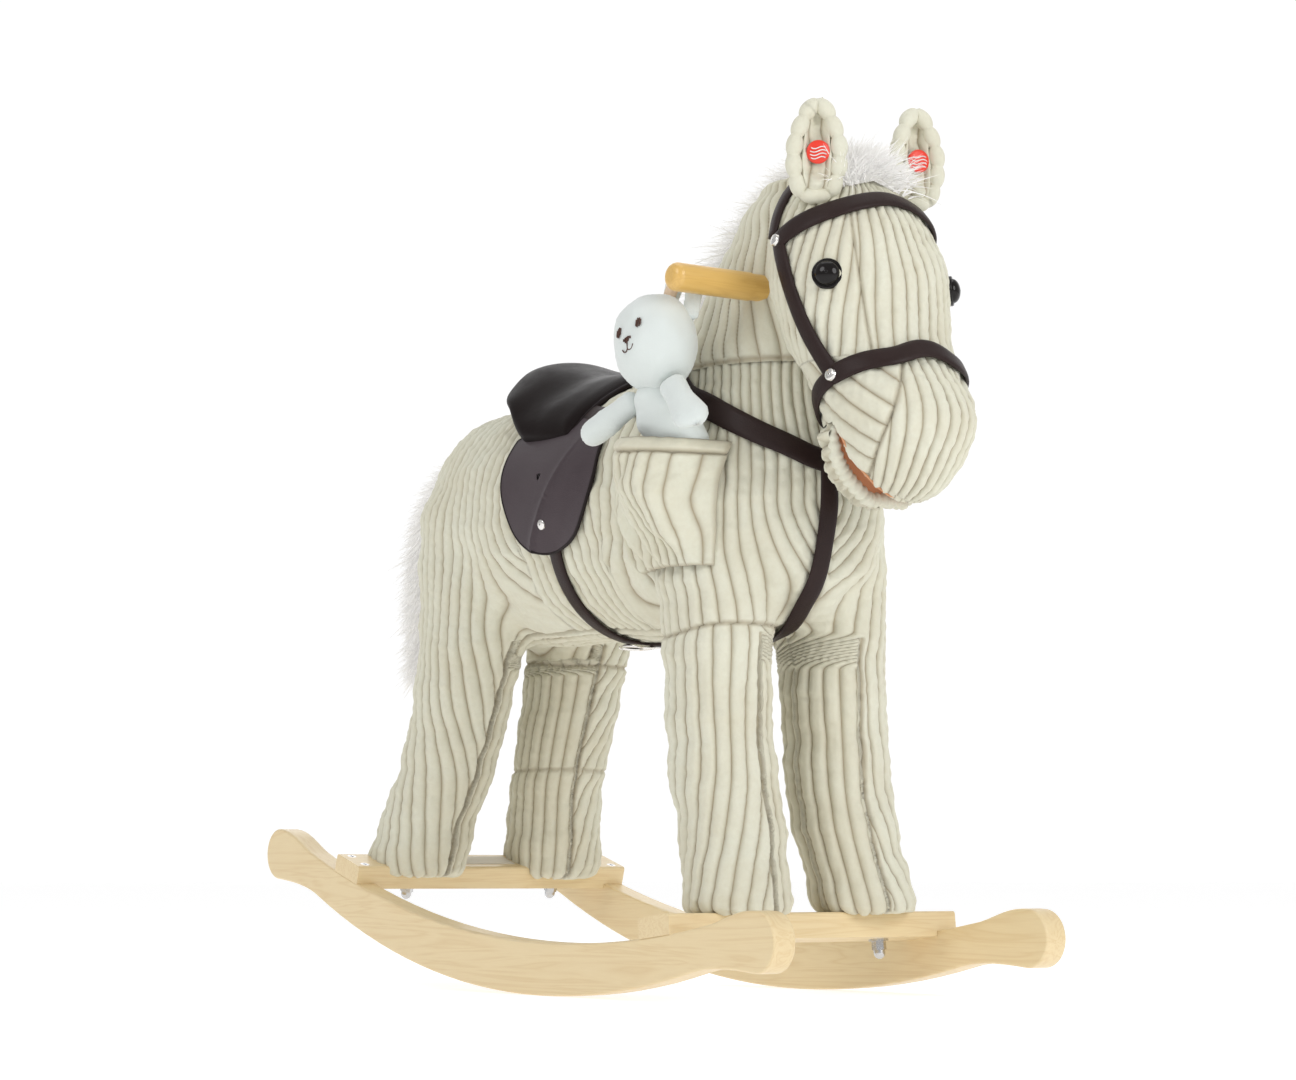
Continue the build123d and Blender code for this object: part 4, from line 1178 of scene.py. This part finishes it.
def pocket_cloth():
    """The patch pocket: bellied, gathered at the bottom, with a smooth hem."""
    n, m = 84, 150
    t = np.linspace(0, 1, n)[:, None]  # up
    s = np.linspace(0, 1, m)[None, :]  # rear to front
    left = 58 + 9 * (1 - t) ** 2 - 5 * np.sin(math.pi * t)
    right = 160 + 4 * t
    x = left + (right - left) * s
    z = 331 + (436 - 331) * t - 8 * s * t
    skin = np.array([[skin_y(a, b, -1, -60) for a, b in zip(*row)] for row in zip(x.tolist(), z.tolist())])
    belly = np.maximum(np.sin(math.pi * s**1.4), 0) ** 0.85
    out = 4.5 + belly * (12 + 36 * ease(t * 1.05)) * (0.35 + 0.65 * ease(t * 3)) + 2 * ease(t * 2.5)
    flat = np.stack([x, skin - out, z], -1).reshape(-1, 3)
    quads = grid_quads(n, m)
    nn = normals_of(flat, quads)
    if nn[:, 1].sum() > 0:
        nn, quads = -nn, quads[:, ::-1]
    tt, ss = np.repeat(t, m, 1).ravel(), np.repeat(s, n, 0).ravel()
    hem = tt > HEM
    width = 1.42 * (right - left).mean()
    phase = ss * width / WALE + 0.55 * (1 - tt) * np.sin(ss * 9 + 1.0) + 0.12 * wander(flat, 60, 91)
    phase = np.where(hem, (tt - HEM) / 0.115 + 0.02, phase)
    seam = np.maximum(0.9 * bump((tt - HEM) / 0.028), 0.8 * bump(tt / 0.03))
    seam = np.maximum(seam, 0.7 * bump(ss / 0.02) + 0.7 * bump((ss - 1) / 0.02))
    crumple = 3.0 * np.sin(ss * 23 + 3 * np.sin(tt * 5))
    crumple *= bump((tt - 0.15) / 0.35) + bump((tt - 0.8) / 0.3) * 0.5
    crumple += 5.0 * np.exp(-(((ss - 0.16) / 0.08) ** 2)) * bump((tt - 0.35) / 0.4)
    crumple -= 4.5 * np.exp(-(((ss - 0.27 + 0.1 * tt) / 0.05) ** 2)) * bump((tt - 0.35) / 0.35)
    crumple += 4.0 * np.exp(-(((ss - 0.72 - 0.1 * tt) / 0.07) ** 2)) * bump((tt - 0.45) / 0.45)
    crumple = np.where(hem, 1.2, crumple)
    flat = flat + nn * crumple[:, None]
    moved = rib_cloth(flat, nn, phase, seam, puckers=0.8, depth=2.3, seed=92)
    obj = new_mesh("pocket_cloth", moved, quads, CREAM, {"wale": phase, "seam": seam, "tone": 0.35 * hem})
    thicken(obj, 0.003)
    settle(obj)
    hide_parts("pocket_panel")


pocket_cloth()


# ------------------------------------------------------------------ rabbit
def soft_lump(name, grid, seed, nodes=(), material=VELOUR, ripple=0.5):
    """One stuffed velour piece of the rabbit."""
    p, faces = capped(grid)
    quads = grid_quads(*grid.shape[:2], wrap=True)
    turned, n = outward(p, quads)
    if turned is not quads:
        faces = [f[::-1] for f in faces]
    p = p + n * (ripple * wander(p, 22, seed) + 0.12 * wander(p, 2.2, seed + 1, 12))[:, None]
    settle(new_mesh(name, p, faces, material), "rabbit", nodes)


def ball(centre, radii, rows=60, cols=80, squash=0.92):
    """Grid of a round lump."""
    t = np.linspace(0.02, math.pi - 0.02, rows)[:, None]
    a = circle(cols)[None, :]
    x = centre[0] + radii[0] * np.sin(t) ** squash * np.cos(a)
    y = centre[1] + radii[1] * np.sin(t) ** squash * np.sin(a)
    z = centre[2] - radii[2] * np.cos(t) + 0 * a
    return np.stack([x, y, z], -1)


def paddle(root, tip, w0, w1, thick, rows=50, cols=44, face=(0.82, -0.574, 0)):
    """Flat soft limb from root to tip, widening from w0 to w1, its flat side to face."""
    root, reach, face = np.array(root, float), np.subtract(tip, root), np.array(face, float)
    length = np.linalg.norm(reach)
    d = reach / length
    face = unit(face - d * face.dot(d))
    side = np.cross(d, face)
    t = np.linspace(0, 1, rows)
    end = np.sqrt(np.clip(1 - np.clip((t - 0.74) / 0.26, 0, 1) ** 2.2, 0.0009, 1))
    start = np.sqrt(np.clip(1 - np.clip((0.12 - t) / 0.12, 0, 1) ** 2, 0.0009, 1))
    w = (w0 + (w1 - w0) * t) * end * start
    h = thick * end * start
    a = circle(cols)
    wide, thick = w[:, None, None], h[:, None, None]
    return (root + d * length * t[:, None])[:, None] + (
        wide * np.cos(a)[None, :, None] * side + thick * np.sin(a)[None, :, None] * face
    )


HEAD_AT = (127.0, -119.0, 505.0)
bunny_head = ball(HEAD_AT, (35, 32, 38))
# z, half width, half thickness
BUNNY_TRUNK = [(394, 14, 8), (404, 20, 11), (430, 26, 14), (450, 26, 17), (462, 23, 16), (474, 15, 11)]


def bunny_trunk(step=2, around=64):
    """The rabbit's trunk, its broad side turned to the camera's side."""
    zs = np.arange(BUNNY_TRUNK[0][0], BUNNY_TRUNK[-1][0] + step, step)
    wide, thick = table_at(BUNNY_TRUNK, zs).T
    lean = np.maximum((zs - 430) / 44.0, 0)[:, None]
    a = circle(around)
    along, across = wide[:, None] * np.cos(a), thick[:, None] * np.sin(a)
    c, d = math.cos(math.radians(38)), math.sin(math.radians(38))
    return np.stack([
        130 - 4 * lean + along * c - across * d,
        -101 - 15 * lean + along * d + across * c,
        np.repeat(zs[:, None], around, 1),
    ], -1)


soft_lump("rabbit_head_velour", bunny_head, 101, ("rabbit_head",))
soft_lump("rabbit_body_velour", bunny_trunk(), 103, ("rabbit_body",), ripple=0.7)
soft_lump("rabbit_arm_rear", paddle((106, -119, 464), (54, -137, 436), 9, 11.5, 8.5), 105)
soft_lump("rabbit_arm_front", paddle((148, -120, 472), (188, -124, 434), 10, 14.5, 8.5), 107)
soft_lump("rabbit_ear_front", paddle((151, -104, 522), (154, -98, 552), 6, 8, 4), 109, ("rabbit_ears",))
soft_lump("rabbit_ear_rear", paddle((126, -108, 530), (122, -92, 564), 6, 8, 4), 111)
soft_lump("rabbit_ear_lining", paddle((132, -114, 530), (131, -99, 562), 4, 6, 2.4), 113, material=BEIGE)

# face: sewn spots and a smile, on the side that looks back and outwards
bunny_tree = tree_of(bunny_head)
FACE_DIR = unit((0.20, -0.98, -0.08))
FACE_SIDE = np.cross((0, 0, 1.0), FACE_DIR)


def sewn(name, spots, radius):
    """Thread laid on the rabbit's face along spots."""
    line = []
    for right, up in spots:
        aim = FACE_DIR * 60 + FACE_SIDE * right * 2.0 + (0, 0, (up + 0.28 * right) * 2.0)
        hit, n = nearest(bunny_tree, HEAD_AT + aim)
        line.append(hit + n * 0.5)
    tube_along(name, line, radius, THREAD, step=1.2, sides=8, body="rabbit")


for k, right in enumerate((-9.0, 9.0)):
    for j in range(5):
        o = (j - 2) * 0.85
        h = 3.0 * math.sqrt(max(0, 1 - (o / 2.4) ** 2))
        sewn(f"rabbit_eye_{k}_{j}", [(right + o, 9 - h), (right + o, 9), (right + o, 9 + h)], 0.6)
for j in range(7):
    o = (j - 3) * 0.9
    h = 2.6 * (1 - abs(o) / 3.6)
    sewn(f"rabbit_nose_{j}", [(o, 1.4 - h), (o, 1.4), (o, 2.6)], 0.6)
sewn("rabbit_mouth_line", [(0, -1.2), (0, -3.0), (0, -4.6)], 0.45)
smile = [(-5.0, -3.4), (-3.4, -5.6), (-1.2, -5.6), (0, -4.4), (1.2, -5.6), (3.4, -5.6), (5.0, -3.4)]
sewn("rabbit_smile", smile, 0.5)


# ------------------------------------------------------------------ fur
def fur(name, roots, ways, lengths, droop, body, seed, width=0.95, segments=5, curl=0.25):
    """Flat tapering hairs from root points, starting along ways and bending with droop."""
    rng = np.random.default_rng(seed)
    n = len(roots)
    ways = unit(ways + rng.normal(scale=curl, size=ways.shape))
    bend = rng.normal(scale=curl * 0.8, size=ways.shape)
    side = unit(np.cross(ways, rng.normal(size=ways.shape)))
    rows = []
    for k in range(segments + 1):
        t = k / segments
        c = roots + ways * (lengths * t)[:, None] + (droop + bend) * (lengths * t * t)[:, None]
        w = width * (1 - 0.85 * t) * (1 if k < segments else 0.3)
        rows.append(np.stack([c - side * w, c + side * w], axis=1))
    v = np.stack(rows, axis=1)
    base = np.arange(n)[:, None] * (2 * (segments + 1))
    quads = []
    for first in range(0, 2 * segments, 2):
        quads.append(np.concatenate([base + first + corner for corner in (0, 1, 3, 2)], axis=1))
    obj = new_mesh(name, v.reshape(-1, 3), np.concatenate(quads), GLOWING_FUR)
    settle(obj, body)
    return obj


def path_frame(points, count, rng):
    """Random spots on a line with the way it runs there."""
    line = curve_through(points, 2.0)
    ahead = unit(np.gradient(line, axis=0))
    i = rng.integers(0, len(line), count)
    return line[i], ahead[i], i / len(line)


rng = np.random.default_rng(5)
CREST = [(38, 0, 516), (51, 0, 545), (76, 0, 578), (104, 0, 604), (135, 0, 622), (163, 0, 636),
         (194, 0, 643), (226, 0, 637)]
FORELOCK = [(206, 0, 640), (232, 0, 636), (250, 0, 626)]
TAIL = [(-314, 0, 459), (-346, 0, 458), (-375, 0, 441), (-398, 0, 404), (-408, 0, 356), (-414, 0, 318),
        (-414, 0, 290)]
MANE_HAIRS, FORELOCK_HAIRS, TAIL_HAIRS = 11000, 3600, 13000  # TAIL_HAIRS in each of the tail's two pieces

spot, ahead, _ = path_frame(CREST, MANE_HAIRS, rng)
spread = rng.normal(size=MANE_HAIRS) * 8
none = np.zeros(MANE_HAIRS)
roots = spot + np.stack([none, spread, -np.abs(spread) * 0.25], -1)
crestward = -np.cross((0, 1.0, 0), ahead)
crestward[crestward[:, 2] < 0] *= -1
ways = crestward * 0.9 + np.stack([none, spread / 16, none], -1) - ahead * 0.45
mane = fur("mane_hair", roots, ways, rng.uniform(15, 29, MANE_HAIRS), (-0.15, 0, -0.25), "horse", 6)
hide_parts("mane")

spot, ahead, _ = path_frame(FORELOCK, FORELOCK_HAIRS, rng)
spread = rng.normal(size=FORELOCK_HAIRS) * 13
roots = spot + np.stack([0 * spread, spread, -np.abs(spread) * 0.3], -1)
ways = np.stack([0.35 + 0 * spread, spread / 40, 0.75 + 0 * spread], -1)
fur("forelock_hair", roots, ways, rng.uniform(16, 32, FORELOCK_HAIRS), (0.25, 0, -0.35), "horse", 8)

for k in range(2):
    spot, ahead, where = path_frame(TAIL, TAIL_HAIRS, rng)
    turn = rng.uniform(0, 2 * math.pi, TAIL_HAIRS)
    across = np.array([0, 1.0, 0])
    radius = 12.5 * np.sin(np.clip(where * 1.06 + 0.12, 0, 1) * math.pi) ** 0.6
    outwards = across * np.cos(turn)[:, None] + np.cross(ahead, across) * np.sin(turn)[:, None]
    roots = spot + outwards * (radius * rng.uniform(0.2, 1.0, TAIL_HAIRS))[:, None]
    tail = fur(f"tail_hair_{k}", roots, outwards * 0.75 + ahead * 0.7, rng.uniform(14, 26, TAIL_HAIRS),
               (0, 0, -0.3), "tail", 10 + k)
    if k == 0:
        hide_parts("tail_hair")
tail_core = tube_along("tail_core", curve_through(TAIL, 6.0), 15, GLOWING_FUR, step=5, sides=24, body="tail",
                       taper=lambda t: 0.25 + 0.75 * np.sin(np.clip(t * 1.06 + 0.10, 0, 1) * math.pi) ** 0.7)
mane_core = tube_along("mane_core", [(x, y, z - 4) for x, y, z in CREST], 13, GLOWING_FUR, step=5, sides=20,
                       taper=lambda t: 0.5 + 0.5 * np.sin(np.clip(t, 0, 1) * math.pi))


# ------------------------------------------------------------------ floor, light and camera
floor_mat = speckled("floor", (0.62, 0.62, 0.62), (0.60, 0.60, 0.60), 0.85, 300, 0.02, 0.2,
                     Specular_IOR_Level=0.1, Emission_Strength=0.62)
REACH = 60000  # half the floor's width
corners = [(-REACH, -REACH, 0), (REACH, -REACH, 0), (REACH, REACH, 0), (-REACH, REACH, 0)]
floor = new_mesh("floor", corners, [(0, 1, 2, 3)], floor_mat)


def area_light(name, place, aim, size, power):
    """Round lamp at place, pointed at aim; metres and watts."""
    lamp = bpy.data.lights.new(name, "AREA")
    lamp.shape = "DISK"
    lamp.size = size
    lamp.energy = power
    obj = bpy.data.objects.new(name, lamp)
    obj.location = place
    obj.rotation_euler = (Vector(aim) - Vector(place)).to_track_quat("-Z", "Y").to_euler()
    bpy.context.scene.collection.objects.link(obj)


area_light("key", (0.7, -2.8, 2.2), (0, 0, 0.35), 1.6, 24)
area_light("fill", (2.6, 0.3, 1.4), (0, 0, 0.4), 1.6, 27)
area_light("top", (-0.3, 0.2, 3.0), (0, 0, 0.3), 2.2, 14)
area_light("back", (-2.2, 1.2, 1.6), (0, 0, 0.4), 1.6, 5)
world = bpy.data.worlds.new("studio")
world.use_nodes = True
backdrop = world.node_tree.nodes["Background"]
backdrop.inputs["Color"].default_value = (1.0, 1.0, 1.0, 1)
WHITE_GLOW = 1.03  # strength at which the room is seen as plain white
# a white backdrop on one side of the set, a dimmer room all round it
sky = Tree(world.node_tree)
where = sky.add("ShaderNodeTexCoord").outputs["Generated"]
facing = sky.add("ShaderNodeVectorMath", operation="DOT_PRODUCT")
sky.link(where, facing.inputs[0])
facing.inputs[1].default_value = (-0.82, 0.57, 0.0)
glow = sky.add("ShaderNodeMapRange", interpolation_type="SMOOTHSTEP")
for key, value in (("From Min", 0.45), ("From Max", 0.85), ("To Min", 0.5), ("To Max", WHITE_GLOW)):
    glow.inputs[key].default_value = value
sky.link(facing.outputs["Value"], glow.inputs["Value"])
# seen directly, the room is the same white on every side
seen = sky.times(sky.add("ShaderNodeLightPath").outputs["Is Camera Ray"], WHITE_GLOW)
sky.link(sky.math("MAXIMUM", glow.outputs["Result"], seen), backdrop.inputs["Strength"])
bpy.context.scene.world = world
bpy.context.scene.view_settings.view_transform = "Standard"

SENSOR = 36.0  # mm
FOCAL_SHARE = 3074.1 / 1296  # focal length over the picture's width
turn, tip = 0.95896, -0.10957  # the camera's heading and pitch, in radians
back = Vector((math.sin(turn) * math.cos(tip), -math.cos(turn) * math.cos(tip), math.sin(tip)))
camera = bpy.data.objects.new("camera", bpy.data.cameras.new("camera"))
camera.data.sensor_width = SENSOR
camera.data.lens = FOCAL_SHARE * SENSOR
camera.data.clip_start = 0.05
camera.location = (2.05101, -1.47581, 0.09214)
camera.rotation_euler = (-back).to_track_quat("-Z", "Y").to_euler()
bpy.context.scene.collection.objects.link(camera)
bpy.context.scene.camera = camera
